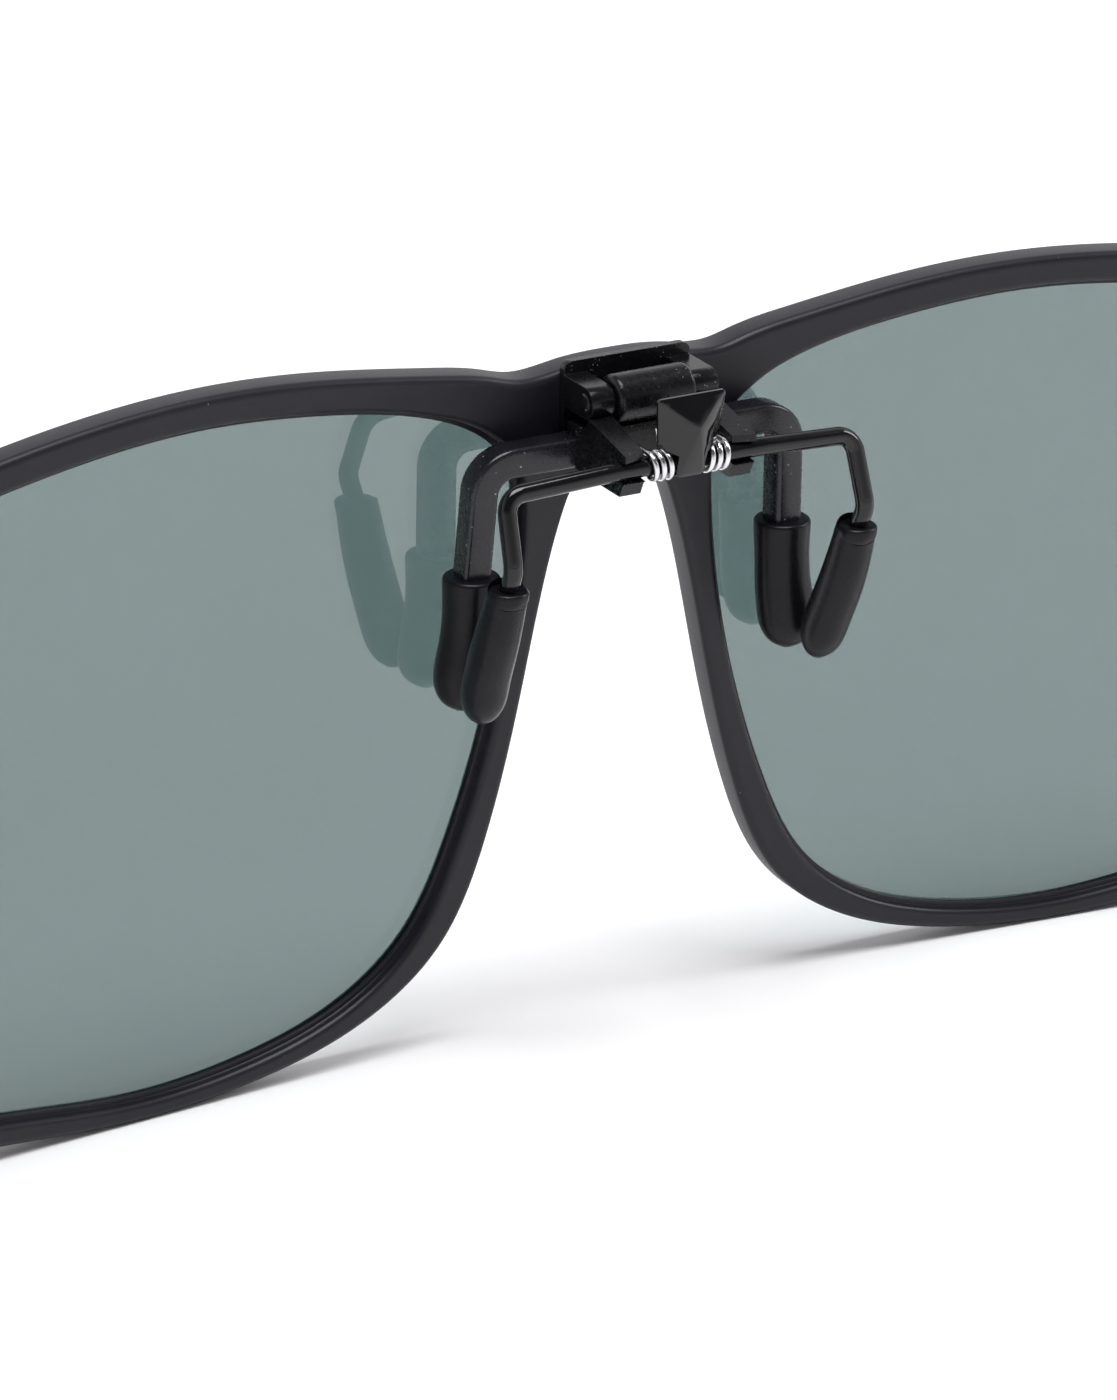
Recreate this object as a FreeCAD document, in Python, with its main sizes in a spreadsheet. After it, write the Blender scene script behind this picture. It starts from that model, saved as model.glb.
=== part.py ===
import FreeCAD, Part
import Sketcher
import math
import os

# Flip-up clip-on sunglasses, in millimetres, standing on the lower rims: +Z up, the wearer's side
# towards +Y, the object's own left to right along X, symmetric about X = 0.
# Every piece is drawn about one datum on the bridge: y = 0 is the back face of the front frame and
# z = 0 is the top of the lens openings. The pieces' placements then carry the datum to its place.

V = FreeCAD.Vector

DIMENSIONS = [
    # alias, value, meaning
    ("opening_height", 42.0, "lens opening, top to bottom"),
    ("lower_rim_width", 1.2, "rim below the opening, seen from behind"),
    ("datum_back", 3.5, "bridge datum in front of the middle of the depth"),
    ("face_radius", 385.0, "curve of the whole front, almost flat"),
    ("frame_depth", 2.4, "front frame, back face to front face"),
    ("frame_edge_radius", 0.5, "rounding of the frame's outer edges"),
    ("lens_recess", 1.1, "lens back surface below the frame's back face"),
    ("lens_thickness", 0.9, "laminated tinted lens"),
    ("lens_groove", 0.6, "lens edge held in the rim"),
    ("groove_clearance", 0.03, "play of the lens in its groove"),
    ("axis_back", 3.1, "flip hinge axis behind the frame"),
    ("axis_drop", 1.6, "flip hinge axis below the opening top"),
    ("pin_radius", 0.45, "flip hinge pin"),
    ("pin_play", 0.04, "running clearance of the barrel on the pin"),
    ("plate_half_width", 4.35, "hinge plate"),
    ("plate_thickness", 0.6, "hinge plate"),
    ("plate_seat", 0.04, "plate's front face behind the bridge datum, on the curved frame"),
    ("plate_top", 0.2, "hinge plate above the opening top"),
    ("plate_height", 5.9, "hinge plate"),
    ("ear_inner", 2.75, "inner face of each hinge ear"),
    ("ear_radius", 1.0, "round end of each hinge ear"),
    ("rivet_radius", 0.55, "rivets that hold the plate"),
    ("rivet_head_radius", 0.85, "rivet head"),
    ("rivet_head_height", 0.2, "rivet head"),
    ("rivet_x", 3.4, "rivets from the middle"),
    ("rivet_drop", 4.6, "rivets below the opening top"),
    ("rivet_depth", 1.7, "rivet shank in the frame"),
    ("leaf_half_width", 2.3, "detent leaf spring"),
    ("barrel_radius", 1.5, "barrel of the clip body"),
    ("barrel_half_width", 2.65, "barrel of the clip body"),
    ("body_half_width", 4.5, "clip body over its cheeks"),
    ("body_front", 1.3, "front of the clip body"),
    ("body_back", 3.4, "back of the clip body's block"),
    ("body_bottom", 5.9, "clip body's block below the opening top"),
    ("cheek_thickness", 1.62, "each cheek of the clip body"),
    ("ledge_depth", 0.5, "ledge under the barrel"),
    ("ledge_drop", 3.14, "ledge under the barrel"),
    ("jaw_back", 7.65, "jaw axis behind the frame"),
    ("jaw_drop", 4.4, "jaw axis below the opening top"),
    ("wire_radius", 0.57, "jaw wire"),
    ("wire_play", 0.04, "running clearance of the wire in the cheeks"),
    ("arm_section", 1.85, "square section of the fixed arms"),
    ("arm_back", 1.65, "middle of the fixed arms behind the frame"),
    ("arm_drop", 4.94, "middle of the cross bar below the opening top"),
    ("arm_reach", 10.5, "fixed arm's corner from the middle"),
    ("arm_corner_radius", 1.9, "bend of the fixed arm"),
    ("tenon_section", 1.1, "arm's tenon in the clip body"),
    ("tenon_length", 1.8, "arm's tenon in the clip body"),
    ("coil_radius", 0.82, "torsion spring, mean radius"),
    ("spring_wire_radius", 0.16, "torsion spring wire"),
    ("coil_pitch", 0.4, "torsion spring"),
    ("coil_turns", 3.75, "torsion spring"),
    ("coil_start", 1.15, "first coil from the middle"),
    ("lever_thickness", 0.35, "thumb lever at its edge"),
    ("lever_collar_radius", 0.72, "lever's collar on the wire"),
    ("lever_collar_half_width", 0.95, "lever's collar on the wire"),
]

doc = FreeCAD.newDocument("clip_on_sunglasses")
sheet = doc.addObject("Spreadsheet::Sheet", "Dims")
for row, (alias, value, meaning) in enumerate(DIMENSIONS, start=1):
    sheet.set(f"A{row}", meaning)
    sheet.set(f"B{row}", str(value))
    sheet.setAlias(f"B{row}", alias)
doc.recompute()

subparts = []


def dim(alias):
    return float(sheet.get(alias))


def spell(expression):
    """An expression over bare aliases, written the way the document reads it."""
    words = []
    for word in expression.split():
        words.append(f"Dims.{word}" if word[0].isalpha() else word)
    return " ".join(words)


def place(obj, x="0", y="0", z="0"):
    """Bind an object's position, given from the bridge datum."""
    obj.setExpression("Placement.Base.x", spell(x))
    obj.setExpression("Placement.Base.y", spell(f"{y} - datum_back"))
    obj.setExpression("Placement.Base.z", spell(f"{z} + opening_height + lower_rim_width"))


def keep(obj, label):
    """Register a finished sub-part."""
    obj.Label = label
    subparts.append(obj)
    return obj


def box(name, size, corner):
    obj = doc.addObject("Part::Box", name)
    for side, expression in zip(("Length", "Width", "Height"), size):
        obj.setExpression(side, spell(expression))
    place(obj, *corner)
    return obj


def rod(name, radius, length, start, along="X"):
    """A cylinder along +X or +Y from its start point."""
    obj = doc.addObject("Part::Cylinder", name)
    obj.setExpression("Radius", spell(radius))
    obj.setExpression("Height", spell(length))
    turn = FreeCAD.Rotation(V(0, 1, 0), 90) if along == "X" else FreeCAD.Rotation(V(1, 0, 0), -90)
    obj.Placement = FreeCAD.Placement(V(0, 0, 0), turn)
    place(obj, *start)
    return obj


def fuse(name, pieces):
    obj = doc.addObject("Part::MultiFuse", name)
    obj.Shapes = pieces
    obj.Refine = True
    return obj


def cut(name, base, tool):
    obj = doc.addObject("Part::Cut", name)
    obj.Base = base
    obj.Tool = tool
    return obj


def side_plate(name, outline, thickness, start_x):
    """A body padded along +X from a side view, whose corners are (back, height) expressions."""
    body = doc.addObject("PartDesign::Body", name)
    plane = next(f for f in body.Origin.OriginFeatures if f.Role == "YZ_Plane")
    sketch = body.newObject("Sketcher::SketchObject", name + "_outline")
    sketch.AttachmentSupport = [(plane, "")]
    sketch.MapMode = "FlatFace"
    count = len(outline)
    for corner in range(count):
        angle = 2 * math.pi * corner / count
        after = 2 * math.pi * (corner + 1) / count
        sketch.addGeometry(Part.LineSegment(V(9 * math.cos(angle), 9 * math.sin(angle), 0),
                                            V(9 * math.cos(after), 9 * math.sin(after), 0)))
    for corner, (back, height) in enumerate(outline):
        sketch.addConstraint(Sketcher.Constraint(
            "Coincident", corner, 2, (corner + 1) % count, 1))
        for kind, expression in (("DistanceX", back), ("DistanceY", height)):
            index = sketch.addConstraint(Sketcher.Constraint(kind, -1, 1, corner, 1, 1.0))
            sketch.setExpression(f"Constraints[{index}]", spell(expression))
    pad = body.newObject("PartDesign::Pad", name + "_pad")
    pad.Profile = sketch
    pad.setExpression("Length", spell(thickness))
    place(body, start_x)
    return body


def feature(label, shape):
    """A sub-part whose shape comes from Part's own functions, set at the datum."""
    obj = doc.addObject("Part::Feature", label)
    obj.Shape = shape
    obj.Placement = FreeCAD.Placement(
        V(0, -dim("datum_back"), dim("opening_height") + dim("lower_rim_width")),
        FreeCAD.Rotation())
    return keep(obj, label)


def mirrored(shape):
    return shape.mirror(V(0, 0, 0), V(1, 0, 0))


# ---------------------------------------------------------------- front frame and lenses

# Half of the front's outer edge as (x, z), from the top of the bridge, over the shallow dip beside
# it, round the rim and up to the top of the nose arch.
OUTER_EDGE = [
    (0.0, -0.3), (3.4, -0.46), (6.9, -0.76), (8.8, -0.28), (12.5, 0.42), (20.0, 1.45),
    (28.0, 1.9), (40.9, 0.8), (51.5, -1.2), (60.5, -3.8), (67.1, -8.1), (70.2, -14.6),
    (70.6, -21.8), (68.8, -29.7), (64.6, -36.2), (57.8, -40.3), (50.3, -41.8), (43.0, -42.4),
    (33.5, -43.2), (25.5, -42.7), (17.2, -40.4), (12.0, -36.5), (8.9, -30.2), (6.55, -21.3),
    (4.85, -13.5), (3.75, -9.7), (2.4, -7.35), (0.0, -6.6),
]

# The lens opening seen from behind, from its nose side over the top and round.
OPENING_EDGE = [
    (6.6, -9.5), (7.0, -6.3), (9.2, -3.75), (12.8, -2.05), (20.0, -0.6), (28.5, 0.0), (40.9, -1.2),
    (51.0, -3.2), (59.5, -5.9), (65.2, -9.8), (67.8, -15.2), (68.1, -21.6), (66.5, -28.8),
    (63.0, -34.6), (57.0, -38.4), (50.0, -40.2), (42.5, -41.0), (33.5, -42.0), (25.3, -41.4),
    (18.4, -39.25), (13.9, -35.7), (11.0, -30.3), (8.45, -22.5), (6.95, -14.5),
]


def spline(points, closed=False):
    curve = Part.BSplineCurve()
    curve.interpolate([V(x, 0, z) for x, z in points], PeriodicFlag=closed)
    return curve.toShape()


def grown(points, distance):
    """The closed outline through points, moved outwards by a distance."""
    curve = Part.BSplineCurve()
    curve.interpolate([V(x, 0, z) for x, z in points], PeriodicFlag=True)
    moved = []
    for x, z in points:
        along = curve.tangent(curve.parameter(V(x, 0, z)))[0]
        moved.append((x - along.z * distance, z + along.x * distance))
    return Part.Wire([spline(moved, closed=True)])


def prism(wire):
    """The wire's area, run through the whole depth of the curved front."""
    reach = 12.0
    face = Part.Face(wire)
    face.translate(V(0, -reach, 0))
    return face.extrude(V(0, 2 * reach, 0))


def curved_sheet(front, back):
    """The space between two depths of the curved front, counted from its back face."""
    radius = dim("face_radius")
    height = 2 * dim("opening_height")
    corner = V(0, radius, -1.5 * dim("opening_height"))
    outer = Part.makeCylinder(radius + front, height, corner, V(0, 0, 1), 60)
    inner = Part.makeCylinder(radius + back, height, corner, V(0, 0, 1), 60)
    sheet_shape = outer.cut(inner)
    sheet_shape.rotate(V(0, radius, 0), V(0, 0, 1), -120)
    return sheet_shape


def half_outline():
    """The right half's area, smooth where the mirrored half takes over."""
    curve = Part.BSplineCurve()
    curve.interpolate([V(x, 0, z) for x, z in OUTER_EDGE], InitialTangent=V(1, 0, 0),
                      FinalTangent=V(-1, 0, 0))
    top, arch = OUTER_EDGE[0], OUTER_EDGE[-1]
    middle = Part.makeLine(V(arch[0], 0, arch[1]), V(top[0], 0, top[1]))
    return Part.Wire([curve.toShape(), middle])


def frame_and_lenses():
    depth = dim("frame_depth")
    lens_back = dim("lens_recess")
    lens_front = lens_back + dim("lens_thickness")
    play = dim("groove_clearance")
    blank = prism(half_outline()).common(curved_sheet(depth, 0))
    rims = [e for e in blank.Edges if e.Length > 20 * depth]
    blank = blank.makeFillet(dim("frame_edge_radius"), rims)
    opening = prism(grown(OPENING_EDGE, 0))
    groove = prism(grown(OPENING_EDGE, dim("lens_groove") + play)).common(
        curved_sheet(lens_front + play, lens_back - play))
    centre = V(dim("rivet_x"), -dim("rivet_depth"), -dim("rivet_drop"))
    rivet_hole = Part.makeCylinder(dim("rivet_radius"), 2 * depth, centre, V(0, 1, 0))
    half = blank.cut(opening).cut(groove).cut(rivet_hole)
    feature("front_frame", half.fuse(mirrored(half)).Solids[0])
    lens = prism(grown(OPENING_EDGE, dim("lens_groove"))).common(
        curved_sheet(lens_front, lens_back)).Solids[0]
    feature("lens_left", mirrored(lens))
    feature("lens_right", lens)


frame_and_lenses()

# ---------------------------------------------------------------- flip hinge


def hinge_plate():
    plate = box("plate", ("2 * plate_half_width", "plate_thickness - plate_seat", "plate_height"),
                ("-1 * plate_half_width", "plate_seat", "plate_top - plate_height"))
    pieces = [plate]
    for side, start in (("left", "-1 * plate_half_width"), ("right", "ear_inner")):
        width = "plate_half_width - ear_inner"
        pieces.append(box(f"ear_{side}", (width, "axis_back - plate_seat", "2 * ear_radius"),
                          (start, "plate_seat", "-1 * axis_drop - ear_radius")))
        pieces.append(rod(f"ear_end_{side}", "ear_radius", width,
                          (start, "axis_back", "-1 * axis_drop")))
    holes = [rod("ear_bore", "pin_radius", "2 * plate_half_width",
                 ("-1 * plate_half_width", "axis_back", "-1 * axis_drop"))]
    for side, centre in (("left", "-1 * rivet_x"), ("right", "rivet_x")):
        holes.append(rod(f"rivet_hole_{side}", "rivet_radius", "2 * plate_thickness",
                         (centre, "-0.5 * plate_thickness", "-1 * rivet_drop"), along="Y"))
    keep(cut("hinge_plate", fuse("plate_and_ears", pieces), fuse("plate_holes", holes)),
         "hinge_plate")


def rivets():
    for side, centre in (("left", "-1 * rivet_x"), ("right", "rivet_x")):
        shank = rod(f"shank_{side}", "rivet_radius", "rivet_depth + plate_thickness",
                    (centre, "-1 * rivet_depth", "-1 * rivet_drop"), along="Y")
        head = rod(f"head_{side}", "rivet_head_radius", "rivet_head_height",
                   (centre, "plate_thickness", "-1 * rivet_drop"), along="Y")
        keep(fuse(f"plate_rivet_{side}", [shank, head]), f"plate_rivet_{side}")


def detent_leaf():
    """A bowed strip between the plate and the barrel, riding just clear of the barrel."""
    outline = [
        ("plate_thickness", "-5.4"),
        ("plate_thickness + 0.2", "-5.4"),
        ("plate_thickness + 0.55", "-2.4"),
        ("plate_thickness + 0.85", "-1.2"),
        ("plate_thickness + 0.65", "-1.2"),
        ("plate_thickness + 0.35", "-2.4"),
    ]
    keep(side_plate("detent_leaf", outline, "2 * leaf_half_width", "-1 * leaf_half_width"),
         "detent_leaf")


# ---------------------------------------------------------------- clip body


def cheek_outline():
    """Side view of a cheek: a sloping top, an upper jaw over the wire and a wedge foot under it."""
    jaw = [("jaw_back + 0.67", "-1 * jaw_drop + 1.1"),
           ("jaw_back + 0.67", "-1 * jaw_drop + 0.66"),
           ("jaw_back", "-1 * jaw_drop + wire_radius + wire_play")]
    steps = 8
    for step in range(1, steps):
        angle = math.radians(90 + 180 * step / steps)
        jaw.append((f"jaw_back + {math.cos(angle):.4f} * wire_radius + "
                    f"{math.cos(angle):.4f} * wire_play",
                    f"-1 * jaw_drop + {math.sin(angle):.4f} * wire_radius + "
                    f"{math.sin(angle):.4f} * wire_play"))
    jaw += [("jaw_back", "-1 * jaw_drop - wire_radius - wire_play"),
            ("jaw_back + 0.6", "-1 * jaw_drop - 0.66"),
            ("jaw_back + 0.37", "-5.2"),
            ("jaw_back", "-6.0")]
    return [("body_front", "-3.25"), ("3.3", "-3.25"), ("3.9", "-2.35")] + jaw + [
        ("4.8", "-6.0"), ("3.9", "-1 * body_bottom + 0.4"), ("body_front", "-1 * body_bottom + 0.4")]


def clip_body():
    barrel = rod("barrel", "barrel_radius", "2 * barrel_half_width",
                 ("-1 * barrel_half_width", "axis_back", "-1 * axis_drop"))
    neck = box("neck", ("2 * barrel_half_width", "body_back - body_front", "body_bottom - 2.2"),
               ("-1 * barrel_half_width", "body_front", "-1 * body_bottom"))
    bar = box("cross_block", ("2 * body_half_width", "body_back - body_front",
                              "body_bottom - 3.25"),
              ("-1 * body_half_width", "body_front", "-1 * body_bottom"))
    ledge = box("ledge", ("2 * barrel_half_width", "body_back - body_front + ledge_depth",
                          "ledge_depth"),
                ("-1 * barrel_half_width", "body_front", "-1 * ledge_drop - ledge_depth"))
    cheeks = [
        side_plate("cheek_left", cheek_outline(), "cheek_thickness", "-1 * body_half_width"),
        side_plate("cheek_right", cheek_outline(), "cheek_thickness",
                   "body_half_width - cheek_thickness"),
    ]
    bores = [rod("barrel_bore", "pin_radius + pin_play", "2 * body_half_width",
                 ("-1 * body_half_width", "axis_back", "-1 * axis_drop"))]
    for side, start in (("left", "-1 * body_half_width"), ("right", "body_half_width - tenon_length")):
        bores.append(box(f"tenon_slot_{side}", ("tenon_length", "tenon_section", "tenon_section"),
                         (start, "arm_back - 0.5 * tenon_section + 0.3",
                          "-1 * arm_drop - 0.5 * tenon_section")))
    keep(cut("clip_body", fuse("body_blank", [barrel, neck, bar, ledge] + cheeks),
             fuse("body_bores", bores)), "clip_body")


# ---------------------------------------------------------------- rounded routes and sleeves


def bent_route(points, radii):
    """Straight runs joined by tangent arcs, one radius for each inner point."""
    edges = []
    start = V(*points[0])
    for index, radius in enumerate(radii, start=1):
        corner = V(*points[index])
        back = (V(*points[index - 1]) - corner).normalize()
        ahead = (V(*points[index + 1]) - corner).normalize()
        half_turn = (math.pi - back.getAngle(ahead)) / 2
        tangent = radius * math.tan(half_turn)
        enter = corner + back * tangent
        leave = corner + ahead * tangent
        bisector = (back + ahead).normalize()
        middle = corner + bisector * (radius / math.cos(half_turn) - radius)
        edges.append(Part.makeLine(start, enter))
        edges.append(Part.Arc(enter, middle, leave).toShape())
        start = leave
    edges.append(Part.makeLine(start, V(*points[-1])))
    return Part.Wire(edges)


def round_rod(route, radius):
    start = route.Edges[0]
    circle = Part.Wire([Part.makeCircle(radius, start.valueAt(start.FirstParameter),
                                        start.tangentAt(start.FirstParameter))])
    return route.makePipeShell([circle], True, False)


def bead(stations):
    """A soft sleeve lofted through (x, y, z, radius) stations, square to its own course."""
    centres = [V(*station[:3]) for station in stations]
    rings = []
    for index, station in enumerate(stations):
        before = centres[max(index - 1, 0)]
        after = centres[min(index + 1, len(centres) - 1)]
        rings.append(Part.Wire([Part.makeCircle(station[3], centres[index], after - before)]))
    return Part.makeLoft(rings, True)


# ---------------------------------------------------------------- fixed arms and sleeves

SLEEVE_STATIONS = [
    (10.86, 1.22, -12.1, 1.62), (10.87, 1.21, -12.4, 1.75), (10.9, 1.2, -14.2, 1.7),
    (11.05, 1.2, -16.2, 1.74), (11.35, 1.2, -18.2, 1.8), (11.52, 1.2, -19.5, 1.55),
    (11.6, 1.2, -20.3, 1.05), (11.63, 1.2, -20.6, 0.5),
]


def fixed_arms():
    half = dim("arm_section") / 2
    back, drop = dim("arm_back"), dim("arm_drop")
    start = dim("body_half_width")
    route = bent_route([(start, back, -drop), (dim("arm_reach"), back, -drop),
                        (10.85, 1.15, -12.9)], [dim("arm_corner_radius")])
    corner = 0.3
    section = Part.makeBox(1, 2 * half, 2 * half, V(start, back - half, -drop - half))
    section = section.makeFillet(corner, [e for e in section.Edges if e.Length < 1.01])
    profile = next(f for f in section.Faces if abs(f.CenterOfMass.x - start) < 0.001).OuterWire
    arm = route.makePipeShell([profile], True, False)
    tenon = dim("tenon_section")
    arm = arm.fuse(Part.makeBox(dim("tenon_length"), tenon, tenon, V(
        start - dim("tenon_length"), back - tenon / 2 + 0.3, -drop - tenon / 2)))
    core = round_rod(bent_route([(10.85, 1.15, -12.5), (10.95, 1.15, -15.5), (11.4, 1.18, -18.6)],
                                [4.0]), 0.7)
    arm = arm.fuse(core).removeSplitter()
    sleeve = bead(SLEEVE_STATIONS).cut(arm)
    feature("fixed_arm_left", mirrored(arm))
    feature("fixed_arm_right", arm)
    feature("fixed_sleeve_left", mirrored(sleeve))
    feature("fixed_sleeve_right", sleeve)


# ---------------------------------------------------------------- jaw: wire, sleeves, springs, lever

WIRE_SLEEVE_STATIONS = [
    (12.06, 7.9, -10.5, 1.05), (12.06, 7.78, -10.75, 1.18), (12.06, 7.1, -12.4, 1.22),
    (12.0, 6.0, -14.9, 1.24), (11.88, 4.98, -17.2, 1.28), (11.8, 4.45, -19.0, 1.22),
    (11.78, 4.32, -19.9, 0.8), (11.78, 4.28, -20.3, 0.35),
]


def jaw_wire_route():
    back, drop = dim("jaw_back"), dim("jaw_drop")
    right = [(5.2, back, -drop), (11.95, 7.15, -4.9), (12.15, 8.65, -9.1), (12.06, 7.75, -10.9),
             (11.92, 5.5, -16.2)]
    left = [(-x, y, z) for x, y, z in reversed(right)]
    radii = [6.0, 1.2, 1.3, 4.0]
    return bent_route(left + right, radii[::-1] + radii)


def jaw():
    wire = round_rod(jaw_wire_route(), dim("wire_radius"))
    feature("jaw_wire", wire)
    sleeve = bead(WIRE_SLEEVE_STATIONS).cut(wire)
    feature("wire_sleeve_left", mirrored(sleeve))
    feature("wire_sleeve_right", sleeve)


def torsion_springs():
    """Coils round the wire; one leg stands up in front of the lever, one runs to the clip body."""
    radius, thin = dim("coil_radius"), dim("spring_wire_radius")
    pitch, turns = dim("coil_pitch"), dim("coil_turns")
    axis = V(dim("coil_start"), dim("jaw_back"), -dim("jaw_drop"))
    helix = Part.makeHelix(pitch, pitch * turns, radius)
    helix.rotate(V(0, 0, 0), V(0, 1, 0), 90)
    helix.rotate(V(0, 0, 0), V(1, 0, 0), -90)
    helix.translate(axis)
    coil = round_rod(helix, thin)
    ends = [helix.Edges[0].valueAt(helix.Edges[0].FirstParameter),
            helix.Edges[-1].valueAt(helix.Edges[-1].LastParameter)]
    legs = [ends[0] + V(0, -0.6, 1.6), V(ends[1].x, dim("body_back") + dim("ledge_depth"), ends[1].z)]
    spring = coil
    for end, tip in zip(ends, legs):
        length = (tip - end).Length
        spring = spring.fuse(Part.makeCylinder(thin, length, end, tip - end))
        spring = spring.fuse(Part.makeSphere(thin, end))
    feature("torsion_spring_left", mirrored(spring))
    feature("torsion_spring_right", spring)


def solid_from_faces(loops):
    faces = [Part.Face(Part.makePolygon(loop + [loop[0]])) for loop in loops]
    return Part.Solid(Part.Shell(faces))


def thumb_lever():
    """A thin faceted plate with its point towards the wearer, on a collar that grips the wire."""
    thickness = dim("lever_thickness")
    point = V(0, 9.3, -1.9)
    rim = [V(-2.34, 8.35, -0.11), V(2.34, 8.35, -0.11), V(2.1, 7.98, -3.03), V(0.94, 8.15, -5.0),
           V(-0.94, 8.15, -5.0), V(-2.1, 7.98, -3.03)]
    foot = [V(p.x, p.y - thickness, p.z) for p in rim]
    loops = [[foot[0], foot[1], foot[2], foot[5]], foot[2:]]
    for index, corner in enumerate(rim):
        after = (index + 1) % len(rim)
        loops.append([corner, rim[after], point])
        loops.append([corner, rim[after], foot[after], foot[index]])
    lever = solid_from_faces(loops)
    axis = V(0, dim("jaw_back"), -dim("jaw_drop"))
    relief_start = dim("lever_collar_half_width") + 0.02
    relief = dim("coil_radius") + dim("spring_wire_radius") + 0.15
    for direction in (-1, 1):
        lever = lever.cut(Part.makeCylinder(relief, 3, axis + V(direction * relief_start, 0, 0),
                                            V(direction, 0, 0)))
    half = dim("lever_collar_half_width")
    lever = lever.fuse(Part.makeCylinder(dim("lever_collar_radius"), 2 * half,
                                         axis - V(half, 0, 0), V(1, 0, 0)))
    lever = lever.cut(Part.makeCylinder(dim("wire_radius"), 10, axis - V(5, 0, 0), V(1, 0, 0)))
    feature("thumb_lever", lever)


hinge_plate()
rivets()
keep(rod("hinge_pin", "pin_radius", "2 * plate_half_width",
         ("-1 * plate_half_width", "axis_back", "-1 * axis_drop")), "hinge_pin")
detent_leaf()
clip_body()
fixed_arms()
jaw()
torsion_springs()
thumb_lever()
doc.recompute()

for obj in doc.Objects:
    if "Invalid" in obj.State or "Error" in obj.State:
        raise RuntimeError(f"{obj.Label} failed: {obj.State}")
for obj in subparts:
    if obj.Shape.isNull() or not obj.Shape.isValid() or len(obj.Shape.Solids) != 1:
        raise RuntimeError(f"{obj.Label} isn't one valid solid: {len(obj.Shape.Solids)}")

os.makedirs("parts", exist_ok=True)
for obj in subparts:
    obj.Shape.exportStep(f"parts/{obj.Label}.step")
    print(obj.Label, round(obj.Shape.Volume, 2))
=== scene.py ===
# %% [markdown]
# # Flip-up clip-on sunglasses
# The object is a slim moulded front with two tinted lenses, and a small sprung clip hinged behind
# its bridge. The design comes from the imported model, which is loaded first and never moved. This
# file then builds the pieces whose surfaces need more finish than the design model has, and gives
# every piece its material.

# %% Load the design
import math
from contextlib import contextmanager

import bmesh
import bpy
import numpy as np
from mathutils import Matrix, Vector
from mathutils.geometry import delaunay_2d_cdt


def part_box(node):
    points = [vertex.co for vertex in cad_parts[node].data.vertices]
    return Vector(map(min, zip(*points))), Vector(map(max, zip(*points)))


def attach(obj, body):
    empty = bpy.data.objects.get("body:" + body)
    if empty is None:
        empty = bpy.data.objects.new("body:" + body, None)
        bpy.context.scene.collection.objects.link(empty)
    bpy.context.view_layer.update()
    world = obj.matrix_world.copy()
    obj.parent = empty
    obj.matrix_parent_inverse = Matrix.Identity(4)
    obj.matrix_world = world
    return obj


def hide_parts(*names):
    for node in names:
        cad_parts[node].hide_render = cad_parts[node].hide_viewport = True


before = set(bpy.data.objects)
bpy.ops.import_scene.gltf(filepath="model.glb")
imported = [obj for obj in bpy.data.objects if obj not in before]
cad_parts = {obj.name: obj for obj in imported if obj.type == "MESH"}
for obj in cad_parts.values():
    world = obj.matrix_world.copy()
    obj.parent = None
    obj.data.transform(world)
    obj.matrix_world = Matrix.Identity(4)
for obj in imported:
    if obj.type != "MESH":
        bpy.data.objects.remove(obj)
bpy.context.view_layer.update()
print("nodes", sorted(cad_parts))

# %% [markdown]
# The pieces are small, so every size here is written in millimetres about one datum on the bridge:
# y = 0 is the back face of the front frame and z = 0 is the top of the lens openings. `at` turns such
# a place into the design's own metres. The datum's depth comes from the front face of the hinge plate,
# read from its box, and its height is the opening's height plus the lower rim above the design's zero,
# which is the lowest point of the front.

# %% The bridge datum
MM = 0.001
OPENING_HEIGHT = 42.0
LOWER_RIM = 1.2
PLATE_SEAT = 0.04
plate_low, plate_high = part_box("hinge_plate")
datum = Vector((0.0, plate_low.y / MM - PLATE_SEAT, OPENING_HEIGHT + LOWER_RIM))
print("datum, mm:", [round(v, 3) for v in datum])


def at(x, y, z):
    """A place about the bridge datum, in the scene's metres."""
    return (Vector((x, y, z)) + datum) * MM


# %% [markdown]
# ## Small helpers
# A piece made in code is a list of points and faces in millimetres. `finished_piece` turns that into
# an object, points its faces outwards, shades it smooth, gives it a material and lets it ride on a
# body of the design. Modifiers are applied by taking the evaluated mesh, so a finished piece is a
# plain mesh at the origin.

# %% Helpers for pieces


def add_object(name, data):
    obj = bpy.data.objects.new(name, data)
    bpy.context.scene.collection.objects.link(obj)
    return obj


def mesh_object(name, points, faces):
    mesh = bpy.data.meshes.new(name)
    mesh.from_pydata([at(*p) for p in points], [], faces)
    mesh.validate()
    return add_object(name, mesh)


@contextmanager
def opened(obj):
    """The object's mesh as a bmesh, written back at the end."""
    bm = bmesh.new()
    bm.from_mesh(obj.data)
    yield bm
    bm.to_mesh(obj.data)
    bm.free()


def tidy(obj, merge=0.0006):
    """Merge doubles (distance in mm) and point every face outwards."""
    with opened(obj) as bm:
        bmesh.ops.remove_doubles(bm, verts=bm.verts, dist=merge * MM)
        bmesh.ops.recalc_face_normals(bm, faces=bm.faces)
    return obj


def smooth(obj, angle):
    """Smooth shading that keeps edges sharper than the angle."""
    for face in obj.data.polygons:
        face.use_smooth = True
    limit = math.radians(angle)
    with opened(obj) as bm:
        for edge in bm.edges:
            edge.smooth = len(edge.link_faces) == 2 and edge.calc_face_angle(0) < limit


def bake(obj):
    """Apply all modifiers by taking the evaluated mesh."""
    graph = bpy.context.evaluated_depsgraph_get()
    mesh = bpy.data.meshes.new_from_object(obj.evaluated_get(graph))
    obj.modifiers.clear()
    obj.data = mesh
    return obj


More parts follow.
